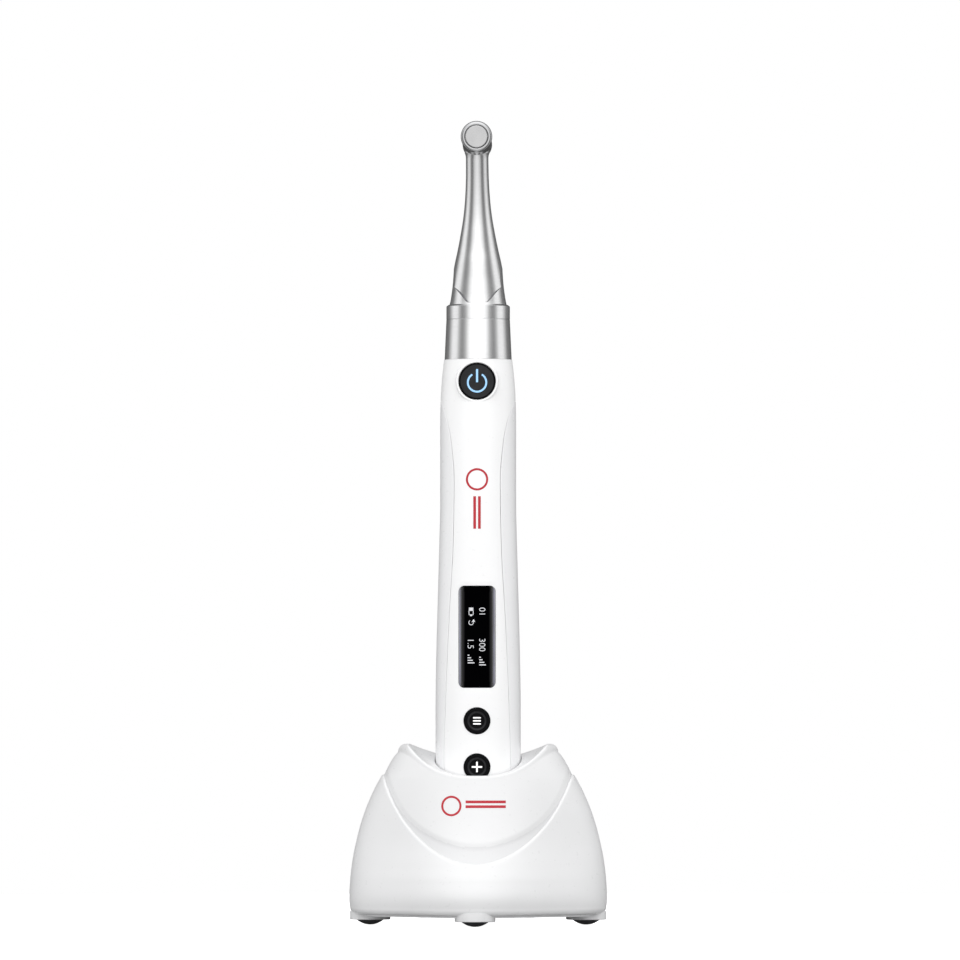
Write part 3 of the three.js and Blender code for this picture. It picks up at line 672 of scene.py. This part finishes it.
def small_button(node, body):
    z, radius = button_place(node)
    face = front_surface(0, z) - 0.3
    dish = 0.42
    rim = radius - 0.85
    profile = [(0.01, dish), (rim - 0.75, dish)]
    profile += [(rim - 0.75 + 0.75 * t, dish * (1 - smooth(0, 1, t))) for t in (0.25, 0.5, 0.75, 1.0)]
    profile += [(radius - 0.35, 0.0)]
    profile += arc(radius - 0.35, 0.35, 0.35, -90, 0, 6)
    profile += [(radius, 2.7), (0.01, 2.7)]
    cap = lathe(f"{node}_cap", profile, BLACK, facing_front(0, face, z), 96)
    # The sloped dish ring takes the lighter black, a painted sheen.
    paint(cap, DISH_BLACK_PAINTED_SHEEN, lambda x, h: rim - 0.8 < math.hypot(x, h - z) < rim - 0.1)
    place(cap, body, node)
    for index, outline in enumerate(ICONS[node]):
        lift = 0.03 * index
        # A printed icon with a painted glow.
        icon = flat_shape(f"{node}_icon_{index}", outline, z, face + dish - lift, ICON_WHITE_PAINTED_GLOW)
        place(icon, body)


def power_button():
    z, radius = button_place("power_button")
    face = -front_depth(z) - 0.1
    profile = [(0.01, 0.1), (radius * 0.6, 0.05), (radius - 0.45, 0.0)]
    profile += arc(radius - 0.35, 0.35, 0.35, -90, 0, 6)
    profile += [(radius, 1.6), (0.01, 1.6)]
    cap = lathe("power_button_cap", profile, BLACK, facing_front(0, face, z), 128)
    # The face takes the lighter black, a painted sheen.
    paint(cap, DISH_BLACK_PAINTED_SHEEN, lambda x, h: math.hypot(x, h - z) < radius - 0.6)
    place(cap, "power_key", "power_button")
    # The blue power sign with a painted glow.
    ring = flat_shape("power_icon_ring", ring_arc(3.0, 0.54, 121, 419), z - 0.35, face, ICON_BLUE_PAINTED_GLOW)
    place(ring, "power_key")
    line = flat_shape("power_icon_bar", bar(0, 2.0, 0.62, 3.9), z - 0.35, face, ICON_BLUE_PAINTED_GLOW)
    place(line, "power_key")
    rim = radius + 0.16
    wall = [(rim, 2.6), (rim, 0.2)] + arc(rim + 0.38, 0.2, 0.38, 180, 360, 14)
    wall += [(rim + 0.9, 0.9), (rim + 1.1, 2.6)]
    collar = lathe("power_button_rim", wall, WHITE, facing_front(0, face + 0.1, z), 128, closed=True)
    place(collar, "handpiece")


def display_window():
    """Black glass, flat in the middle and rolled back along its two long edges."""
    low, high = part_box("display_window")
    z_mid = (low.z + high.z) / 2 / MM
    width, height = (high.x - low.x) / MM - 0.16, (high.z - low.z) / MM
    face = low.y / MM + 0.1
    roll = 1.7

    def drop(x):
        share = clamp((abs(x) - width / 2 + roll) / roll, 0, 0.995)
        return 0.95 * (1 - math.sqrt(1 - share ** 2))

    rings = []
    edge = ((0, 2.2), (0, 0.12), (0.04, 0.03), (0.12, 0))
    for inset, depth in edge + tuple((0.17 * i, 0) for i in range(1, 13)):
        outline = rounded_rectangle(width, height, 1.7, 14, inset)
        rings.append([(x, face + depth + drop(x), z_mid + z) for x, z in outline])
    glass = loft("display_window_glass", rings, GLASSES[0], sharp_angle=50)
    for shade in GLASSES[1:]:
        glass.data.materials.append(shade)
    # Faces further out on the rolled edges take later steps, whose grey base colour is a painted reflection.
    for polygon in glass.data.polygons:
        aside = clamp((abs(polygon.center.x) / MM - 3.3) / 2.1)
        polygon.material_index = round(aside * (len(GLASSES) - 1))
    place(glass, "handpiece", "display_window")
    readout(z_mid, face)


def figures(name, text, x, z, face):
    """Plain figures that read down the handle, from a height z, as a flat mesh."""
    curve = bpy.data.curves.new(name, "FONT")
    curve.body = text
    curve.size = FIGURE_SIZE
    curve.offset = -0.02
    curve.resolution_u = 6
    words = bpy.data.objects.new(name, curve)
    bpy.context.collection.objects.link(words)
    graph = bpy.context.evaluated_depsgraph_get()
    mesh = bpy.data.meshes.new_from_object(words.evaluated_get(graph))
    bpy.data.objects.remove(words)
    for vertex in mesh.vertices:
        along, up = vertex.co.x, vertex.co.y
        vertex.co = ((x + up) * MM, (face - 0.02) * MM, (z - along) * MM)
    mesh.materials.clear()
    mesh.materials.append(READOUT)
    piece = bpy.data.objects.new(name, mesh)
    bpy.context.collection.objects.link(piece)
    return place(piece, "handpiece")


def readout(z_mid, face):
    """Generic figures with level bars, a battery sign and a turning sign; it all reads down the handle."""
    figures("display_figure_program", "01", UPPER_LINE, z_mid + 8.7, face)
    figures("display_figure_speed", "300", UPPER_LINE, z_mid - 0.4, face)
    figures("display_figure_torque", "1.5", LOWER_LINE, z_mid - 0.4, face)
    shapes = []

    def stroke(x, z, width, height):
        shapes.append([(x, z), (x + width, z), (x + width, z - height), (x, z - height)])

    for column, start in ((UPPER_LINE, -5.9), (LOWER_LINE, -5.3)):
        for step in range(4):
            stroke(column, z_mid + start - 0.75 * step, 0.5 * (step + 1), 0.3)
    left, top, long, tall, line = -2.45, z_mid + 8.6, 2.2, 1.45, 0.2
    stroke(left, top, tall, 0.95)
    stroke(left, top, line, long)
    stroke(left + tall - line, top, line, long)
    stroke(left, top - long + line, tall, line)
    stroke(left + 0.42, top - long, tall - 0.84, 0.3)
    vertices, faces = [], []
    for shape in shapes:
        first = len(vertices)
        vertices += [(x, face - 0.02, z) for x, z in shape]
        faces.append(tuple(range(first, first + 4)))
    place(new_object("display_signs", vertices, faces, READOUT), "handpiece")
    middle, lift = -1.72, 4.2
    turn = [(x + middle, z) for x, z in ring_arc(0.78, 0.2, 120, 395, 24)]
    place(flat_shape("display_turn_sign", turn, z_mid + lift, face, READOUT, 0.02), "handpiece")
    tip = [(middle + x, lift + z) for x, z in ((0.1, 0.1), (1.15, 0.25), (0.75, 1.05))]
    place(flat_shape("display_turn_tip", tip, z_mid, face, READOUT, 0.02), "handpiece")


def generic_mark(name, body, ring_at, ring_radius, bars, surface):
    """A plain ring beside two plain bars, printed on a curved face. A bar is (x, z, width, height)."""
    vertices, faces = [], []

    def patch(points_a, points_b):
        first = len(vertices)
        for pair in zip(points_a, points_b):
            vertices.extend((x, surface(x, z) - 0.03, z) for x, z in pair)
        for i in range(len(points_a) - 1):
            a = first + 2 * i
            faces.append((a, a + 1, a + 3, a + 2))

    cx, cz = ring_at
    patch([(cx + x, cz + z) for x, z in arc(0, 0, ring_radius, 0, 360, 48)],
          [(cx + x, cz + z) for x, z in arc(0, 0, ring_radius - MARK_STROKE, 0, 360, 48)])
    for x, z, width, height in bars:
        steps = 24
        if width > height:
            along = [x + width * i / steps for i in range(steps + 1)]
            patch([(a, z) for a in along], [(a, z + height) for a in along])
        else:
            along = [z + height * i / steps for i in range(steps + 1)]
            patch([(x, a) for a in along], [(x + width, a) for a in along])
    place(new_object(name, vertices, faces, MARK_RED), body)


def handle_mark():
    bars = [(-1.1, 117, 0.8, 9.6), (0.3, 117, 0.8, 9.6)]
    generic_mark("handle_mark", "handpiece", (0, 131.6), 3.3, bars, front_surface)


# ------------------------------------------------------------------ contra-angle

def sleeve_and_collar():
    low, high = 9.95, 9.42
    foot = HANDLE_TOP + 0.03
    profile = [(7.1, foot), (low - 0.06, foot), (low, foot + 0.06)]
    profile += [(lerp(low, high, t), lerp(foot + 0.2, SLEEVE_HIGH - 0.1, t)) for t in (0, 0.5, 1)]
    profile += [(high - 0.07, SLEEVE_HIGH - 0.01), (7.1, SLEEVE_HIGH)]
    place(lathe("sleeve_skin", profile, SATIN, segments=160, closed=True), "contra_angle", "sleeve")
    foot = SLEEVE_HIGH + 0.03
    profile = [(6.8, foot), (high - 0.07, foot), (high, foot + 0.07), (high, COLLAR_TOP - 0.5)]
    profile += [(high - 0.1, COLLAR_TOP - 0.4), (8.75, COLLAR_TOP), (6.8, COLLAR_TOP)]
    collar = lathe("collar_ring_skin", profile, SATIN, segments=160, closed=True)
    place(collar, "contra_angle", "collar_ring")


neck_radius = profile_of([
    (182.8, 9.6), (185.6, 9.1), (188.1, 8.6), (191.6, 7.85), (194.4, 7.22), (196.5, 6.8), (199, 6.22),
    (202.2, 5.55), (205, 5.02), (207.9, 4.5), (210.5, 4.13), (213.6, 3.8), (218, 3.5), (222, 3.36),
    (227.2, 3.32), (HEAD_Z, 3.32),
])
neck_axis = profile_of([
    (182.8, 2.8), (185.6, 2.35), (188.1, 1.8), (191.6, 0.95), (194.4, 0.15), (197, -0.45), (200, -1.1),
    (205, -2.5), (209, -3.7), (HEAD_Z, HEAD_Y),
])
blank_radius = profile_of([
    (182.8, 8.8), (183.4, 8.55), (184.2, 8.35), (185.6, 8.08), (188.1, 7.72), (190.1, 7.5), (194.4, 7.22),
    (195.2, 7.2),
])


def step_height(x):
    """The U on the front: level in the middle, then two straight slopes with rounded corners."""
    aside = abs(x) - 2.9
    return 184.0 + 0.76 * (aside + math.hypot(aside, 0.8))


def neck_and_head():
    """A leaning trumpet milled into a turned blank down to a U-shaped step, and the head on top."""
    low = COLLAR_TOP + 0.02
    rings = []
    for z in heights(low, HEAD_Z - 0.5, 0.5):
        below_head = HEAD_Z - HEAD_RADIUS - z
        radius = neck_radius(z) + 0.35 * math.exp(-max(below_head, 0) / 0.4)
        rings.append([(radius * math.cos(math.tau * i / 160),
                       neck_axis(z) + radius * math.sin(math.tau * i / 160), z) for i in range(160)])
    whole = loft("neck_and_head_skin", rings, SATIN)
    blank = [(0.01, low - 1), (blank_radius(low), low - 1)]
    blank += [(blank_radius(z), z) for z in heights(low, BLANK_TOP, 0.35)]
    top = [(30, 195.6), (30, 260), (0.01, 260)]
    carve(whole, lathe("turned_blank", blank + top, SATIN, segments=192), "INTERSECT", 12)
    step = lathe("turned_step", blank + [(0.01, BLANK_TOP)], SATIN, segments=192)
    outlines = []
    for y, drop in ((-12, 0), (-0.5, 1.8)):
        xs = [8.4 * (1 - i / 24) for i in range(49)]
        edge = [(x, y, max(low - 0.4, step_height(x) - drop)) for x in xs]
        outlines.append([(8.4, y, low - 2), *edge, (-8.4, y, low - 2)])
    # The ledge of the step takes the dark steel, painted shade.
    carve(step, loft("step_outline", outlines, LEDGE_PAINTED_SHADE), "INTERSECT", 12)
    carve(whole, step, "UNION", 12)
    radius = HEAD_RADIUS - 0.3
    head = [(0.01, -2.9), (3.6, -2.9), (3.6, -3.9), (radius - 0.15, -3.9), (radius, -3.75), (radius, 4.2)]
    head += arc(radius - 1.0, 4.4, 1.0, 0, 90, 16) + [(2.6, 5.4), (2.5, 5.2), (2.5, 4.6), (0.01, 4.6)]
    tilt = Matrix.Rotation(HEAD_TILT, 4, "X")
    front = Matrix.Translation((0, HEAD_Y - 3.9, HEAD_Z - 0.45))
    # The head body is given the darker steel: painted shade.
    body = lathe("head_body", head, HEAD_STEEL_PAINTED_SHADE, front @ tilt @ facing_front(0, 3.9, 0), 128)
    carve(whole, body, "UNION", 12)
    place(whole, "contra_angle", "neck_shell")


def head_front():
    groove = 3.4
    face = RING_LOW.y / MM
    ring = [(groove, 3.0), (groove, 0.24), (groove + 0.2, 0.03), (groove + 0.26, 0.0)]
    ring += arc(HEAD_RADIUS - 0.95, 0.95, 0.95, -88, 0, 16)
    ring += [(HEAD_RADIUS, 1.22), (HEAD_RADIUS - 0.1, 1.33), (3.75, 1.33), (3.75, 3.0)]
    piece = lathe("head_cap_ring_skin", ring, RING_METAL, facing_front(0, face, HEAD_Z), 144, closed=True)
    place(piece, "contra_angle", "head_cap_ring")
    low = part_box("head_push_button")[0].y / MM
    radius = 3.32
    key = [(0.01, 0.0), (radius - 0.3, 0.0)] + arc(radius - 0.26, 0.26, 0.26, -90, 0, 6)
    key += [(radius, 0.8), (0.01, 0.8)]
    piece = lathe("head_push_button_skin", key, KEY_METAL, facing_front(0, low, HEAD_Z), 128)
    place(piece, "head_key", "head_push_button")


# ------------------------------------------------------------------ stand

stand_width = profile_of([
    (3.2, 37.6), (7.5, 38.2), (13.4, 37.9), (19.3, 37.2), (25.2, 36.0), (31.1, 34.4), (37, 32.2),
    (42.9, 29.3), (45.3, 27.8), (50, 25.0), (53.6, 21.4),
])
stand_depth = profile_of([
    (3.2, 34.6), (7.9, 35.6), (13.2, 33.9), (17.7, 31.2), (22.2, 28.4), (27, 26), (35, 23), (44, 20.4),
    (53.6, 18.2),
])


def stand_point(z, angle, grow=0.0):
    fade = clamp((46 - z) / 32)
    draw = 1 - LOBE * smooth(0, 1, fade) ** 0.7 * (0.5 - 0.5 * math.cos(4 * angle))
    return (math.cos(angle) * (stand_width(z) + grow) * draw,
            math.sin(angle) * (stand_depth(z) + grow) * draw, z)


def seam_height(x):
    share = min(abs(x) / SEAM_HALF_WIDTH, 1)
    return 18.4 + 26.8 * (0.78 * share ** 2 + 0.22 * share ** 8)


def bulge_height(x):
    share = min(abs(x) / BULGE_HALF_WIDTH, 1)
    return 23.6 + 22.0 * (0.64 * share ** 2 + 0.36 * share ** 8)


def front_rim_height(x):
    return FRONT_RIM + (PEAK - FRONT_RIM) * min(abs(x) / RIM_HALF_WIDTH, 1) ** 2.8


def back_rim_height(x):
    return BACK_RIM + (PEAK - BACK_RIM) * min(abs(x) / RIM_HALF_WIDTH, 1) ** 1.9


def meets(curve, angle):
    """The height where the stand's side at this angle meets a curve drawn on the front view."""
    return halve(10, 46, lambda z: z < curve(stand_point(z, angle)[0]))


def slope_at(curve, x):
    return (curve(abs(x) + 0.05) - curve(abs(x) - 0.05)) / 0.1 if abs(x) > 0.05 else 0.0


def distance_above(curve, x, z):
    return (z - curve(x)) / math.hypot(1, slope_at(curve, x))


def stand_angles():
    return [math.tau * i / STAND_COLUMNS for i in range(STAND_COLUMNS)]


def band_inset(angle):
    """How far the cradle's band lies behind the base shell: deep in front, shallow at the shoulders."""
    return lerp(0.55, 0.9, abs(math.sin(angle)) ** 1.4)


def base_shell():
    columns = []
    for angle in stand_angles():
        top = meets(seam_height, angle)
        thin = band_inset(angle) - 0.06
        lip = min(0.8, thin - 0.1)
        tall = lerp(lip, 1.4, abs(math.sin(angle)) ** 4)
        column = []
        for depth, lift in arc(2.0, 2.0, 2.0, 270, 180, 10):
            x, y, _ = stand_point(STAND_BOTTOM + 2.0, angle, -depth)
            column.append((x, y, STAND_BOTTOM + lift))
        start = STAND_BOTTOM + 2.4
        for i in range(49):
            column.append(stand_point(lerp(start, top - tall, i / 48), angle))
        for inset, lift in arc(-1, 0, 1, 0, 90, 8)[1:]:
            column.append(stand_point(top - tall + tall * lift, angle, lip * inset))
        column.append(stand_point(top - 0.05, angle, -thin))
        column.append(stand_point(top - 3.2, angle, -thin))
        for i in range(13):
            column.append(stand_point(lerp(top - 3.8, STAND_BOTTOM + 1, i / 12), angle, -STAND_WALL))
        columns.append(column)
    rows = [list(row) for row in zip(*columns)]
    shell = loft("base_shell_skin", rows + [rows[0]], STAND_WHITE, False, False, True, 50)
    hole = [(0, -6), (4.4, -6), (4.05, 0.3), (3.95, 1), (3.95, 9), (0, 9)]
    seat = Matrix.Translation((0, 35.2, INLET_Z)) @ Matrix.Rotation(math.pi / 2, 4, "X")
    carve(shell, lathe("inlet_cutter", hole, STAND_WHITE, seat, 64), sharp_angle=50)
    place(shell, "stand", "base_shell")


def top_height(x, y):
    """The saddle on top of the cradle, low in front of the handle and higher behind it."""
    return lerp(front_rim_height(x), back_rim_height(x), smooth(-13, 9, y))


def rim_height(angle):
    return halve(40.0, PEAK, lambda z: z < top_height(*stand_point(z, angle, CRADLE_INSET)[:2]))


def cradle():
    columns = []
    floor = HANDLE_FOOT - 0.4
    for angle in stand_angles():
        lip = lerp(1.1, 2.4, math.cos(angle) ** 4)
        low = meets(seam_height, angle)
        rim = rim_height(angle)
        deep = -band_inset(angle)
        column = [stand_point(low - 2.8, angle, -4.4), stand_point(low - 2.8, angle, deep)]
        wall_top = rim - lip
        for i in range(81):
            z = lerp(low - 0.4, wall_top, i / 80)
            x = stand_point(z, angle)[0]
            rise = smooth(-1.6, 1.1, distance_above(bulge_height, x, z))
            column.append(stand_point(z, angle, lerp(deep, CRADLE_INSET, rise)))
        outer = Vector(stand_point(wall_top, angle, CRADLE_INSET))
        px, py, _ = handle_point(POCKET_SECTION, angle, POCKET_CLEARANCE + 0.4, 0.65)
        inward = Vector((px - outer.x, py - outer.y, 0))
        reach = inward.length
        inward.normalize()
        for i in range(1, 31):
            t = i / 30
            run = reach * t ** 1.6
            point = outer + inward * run
            height = top_height(point.x, point.y)
            if run < lip:
                height = wall_top + (height - wall_top) * math.sqrt(1 - (1 - run / lip) ** 2)
            point.z = height
            column.append(tuple(point))
        edge = column[-1][2]
        for grow, drop in arc(0.4, -0.4, 0.4, 90, 180, 5)[1:]:
            qx, qy, _ = handle_point(POCKET_SECTION, angle, POCKET_CLEARANCE + grow, 0.25 + grow)
            column.append((qx, qy, edge + drop))
        for i in range(1, 12):
            z = lerp(edge - 0.6, floor, i / 11)
            qx, qy, _ = handle_point(clamp(z, 24, POCKET_SECTION), angle, POCKET_CLEARANCE, 0.25)
            column.append((qx, qy, z))
        columns.append(column)
    rows = [list(row) for row in zip(*columns)]
    body = loft("cradle_skin", rows, STAND_WHITE, False, True, True, 50)
    # The band below the bulge takes the darker white: painted shade in the recess.
    paint(body, BAND_WHITE_PAINTED_SHADE, lambda x, z: distance_above(bulge_height, x, z) < -0.4)
    for side in (-1, 1):
        pin = lathe("pin_cutter", [(0, 10), (1.35, 10), (1.35, 24), (0, 24)], STAND_WHITE,
                    Matrix.Translation((side * CONTACT_X, 0, 0)), 32)
        carve(body, pin, sharp_angle=50)
    place(body, "stand", "cradle")


def power_inlet():
    """A round socket with its pin, in a low moulded collar."""
    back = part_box("power_inlet")[1].y / MM
    wall = [(4.0, -3.0), (4.0, -0.2)] + arc(4.3, -0.3, 0.3, 180, 90, 5) + arc(4.6, -0.4, 0.4, 90, 10, 6)
    wall += [(5.3, -1.6), (5.5, -3.0)]
    seat = Matrix.Translation((0, back, INLET_Z)) @ Matrix.Rotation(-math.pi / 2, 4, "X")
    place(lathe("inlet_boss", wall, STAND_WHITE, seat, 96, closed=True), "stand")
    socket = [(0.01, -0.8), (0.75, -0.8), (0.9, -0.95), (0.9, -5), (2.9, -5), (2.9, -0.15), (3.05, 0)]
    socket += [(3.55, 0), (3.7, -0.15), (3.7, -6.4), (0.01, -6.4)]
    place(lathe("power_inlet_socket", socket, POLYMER, seat, 64), "stand", "power_inlet")


def feet():
    for label in ("left", "right", "front", "back"):
        node = f"foot_{label}"
        low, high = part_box(node)
        x, y = (low.x + high.x) / 2 / MM, (low.y + high.y) / 2 / MM
        radius = (high.x - low.x) / 2 / MM
        seat = 1.75
        ball = (radius ** 2 + seat ** 2) / (2 * seat)
        dome = [(r, ball - math.sqrt(ball ** 2 - r ** 2)) for r in
                (0.01 + radius * t / 14 for t in range(14))]
        dome += [(radius, seat), (2.0, seat), (2.0, 3.2), (0.01, 3.2)]
        place(lathe(f"{node}_dome", dome, RUBBER, Matrix.Translation((x, y, 0)), 64), "stand", node)
        profile = [(4.4, 1.5)] + arc(BOSS_RADIUS - 0.25, 1.75, 0.25, 270, 360, 5)
        profile += [(BOSS_RADIUS, 4.0), (4.0, 4.2), (4.0, 2.6)]
        spot = Matrix.Translation((x, y, 0))
        place(lathe(f"boss_{label}", profile, STAND_WHITE, spot, 72, closed=True), "stand")


def cradle_front(x, z):
    """The y of the cradle's front at x."""
    front = -math.pi / 2
    angle = halve(front - 0.6, front + 0.6, lambda a: stand_point(z, a, CRADLE_INSET)[0] < x, 30)
    return stand_point(z, angle, CRADLE_INSET)[1]


def stand_mark():
    bars = [(-3, 36.1, 11.8, 0.8), (-3, 34.7, 11.8, 0.8)]
    generic_mark("stand_mark", "stand", (-7.2, 35.3), 3.0, bars, cradle_front)


# ------------------------------------------------------------------ floor, light and camera

def colour_ramp(tree, value, stops):
    """Grey levels along a value, smooth between (position, level) stops."""
    ramp = tree.nodes.new("ShaderNodeValToRGB")
    ramp.color_ramp.interpolation = "EASE"
    while len(ramp.color_ramp.elements) < len(stops):
        ramp.color_ramp.elements.new(0.5)
    for element, (position, level) in zip(ramp.color_ramp.elements, stops):
        element.position = position
        element.color = (level, level, level, 1)
    tree.links.new(value, ramp.inputs["Fac"])
    return ramp.outputs["Color"]


def world_light():
    """A soft studio round the object: bright in front, with darker strips to the sides for the metal."""
    world = bpy.data.worlds.new("studio")
    bpy.context.scene.world = world
    world.use_nodes = True
    tree = world.node_tree
    nodes, links = tree.nodes, tree.links
    background = nodes["Background"]
    direction = nodes.new("ShaderNodeTexCoord").outputs["Generated"]
    axes = nodes.new("ShaderNodeSeparateXYZ")
    links.new(direction, axes.inputs[0])
    across = math_node(tree, "ABSOLUTE", axes.outputs["X"])
    ahead = math_node(tree, "MULTIPLY", axes.outputs["Y"], -1)
    turn = math_node(tree, "ARCTAN2", across, ahead)
    share = math_node(tree, "DIVIDE", turn, math.pi)
    bands = [(0.0, 1.2), (0.06, 1.12), (0.12, 0.95), (0.17, 0.8), (0.25, 0.28), (0.32, 0.17), (0.38, 0.32),
             (0.44, 0.76), (0.55, 0.76), (0.61, 0.46), (0.69, 0.15), (0.82, 0.11), (0.92, 0.07), (1.0, 0.05)]
    soft = [(0.0, 0.97), (0.22, 0.85), (0.42, 0.4), (0.6, 0.42), (0.8, 0.8), (1.0, 0.92)]
    mirrored, scattered = (colour_ramp(tree, share, stops) for stops in (bands, soft))
    path = nodes.new("ShaderNodeLightPath")
    below = map_range(tree, axes.outputs["Z"], -0.55, 0.02, 0.55, 1.0)
    dimmed = math_node(tree, "MULTIPLY", mirrored, below)
    sides = mix_node(tree, path.outputs["Is Glossy Ray"], scattered, dimmed)
    upwards = nodes.new("ShaderNodeVectorMath")
    upwards.operation = "DOT_PRODUCT"
    upwards.inputs[1].default_value = (0, -0.5, 0.866)
    links.new(direction, upwards.inputs[0])
    top = map_range(tree, upwards.outputs["Value"], 0.45, 0.95, 0.0, 1.0)
    links.new(mix_node(tree, top, sides, 1.25), background.inputs["Color"])
    background.inputs["Strength"].default_value = 1.3
    white = nodes.new("ShaderNodeBackground")
    white.inputs["Color"].default_value = (1, 1, 1, 1)
    white.inputs["Strength"].default_value = 1.0
    blend = nodes.new("ShaderNodeMixShader")
    links.new(path.outputs["Is Camera Ray"], blend.inputs["Fac"])
    links.new(background.outputs[0], blend.inputs[1])
    links.new(white.outputs[0], blend.inputs[2])
    links.new(blend.outputs[0], nodes["World Output"].inputs["Surface"])


def area_light(name, size, energy, location, target):
    data = bpy.data.lights.new(name, "AREA")
    data.size = size
    data.energy = energy
    light = bpy.data.objects.new(name, data)
    bpy.context.collection.objects.link(light)
    light.location = location
    light.rotation_mode = "QUATERNION"
    light.rotation_quaternion = (Vector(target) - Vector(location)).to_track_quat("-Z", "Y")


def studio():
    world_light()
    area_light("top_softbox", 1.6, 3, (0, -0.9, 1.8), (0, 0, 0.1))
    floor_look = plain("pale_floor", (0.5, 0.5, 0.5), 0.8, scale=40)
    tree = floor_look.node_tree
    shader = tree.nodes["Principled BSDF"]
    seen = tree.nodes.new("ShaderNodeLightPath")
    tree.links.new(seen.outputs["Is Camera Ray"], shader.inputs["Emission Strength"])
    shader.inputs["Emission Color"].default_value = (1, 1, 1, 1)
    ring = [(x, y, 0) for x, y in arc(0, 0, FLOOR_RADIUS, 0, 360, 96)[:-1]]
    floor = new_object("floor", ring, [tuple(range(96))], floor_look)
    floor.visible_glossy = False


def camera():
    """A long lens low in front and a touch to the right, level with the lower third of the handle."""
    data = bpy.data.cameras.new("camera")
    data.lens = 316.2
    data.clip_end = 60
    eye = bpy.data.objects.new("camera", data)
    bpy.context.collection.objects.link(eye)
    turn = math.radians(1.76)
    ahead = Vector((-math.sin(turn), math.cos(turn), 0))
    shift = Vector((math.cos(turn), math.sin(turn), 0)) * 0.00055
    target = Vector((0, 0, 0.1317)) + shift
    eye.location = shift - ahead * 2.5 + Vector((0, 0, 0.0603))
    eye.rotation_mode = "QUATERNION"
    eye.rotation_quaternion = (target - eye.location).to_track_quat("-Z", "Y")
    bpy.context.scene.camera = eye
    bpy.context.scene.view_settings.view_transform = "Standard"


finish_cad_nodes()
front_cover()
rear_shell()
end_cap()
small_button("program_button", "program_key")
small_button("plus_button", "plus_key")
small_button("minus_button", "minus_key")
power_button()
display_window()
handle_mark()
sleeve_and_collar()
neck_and_head()
head_front()
base_shell()
cradle()
power_inlet()
feet()
stand_mark()
studio()
camera()
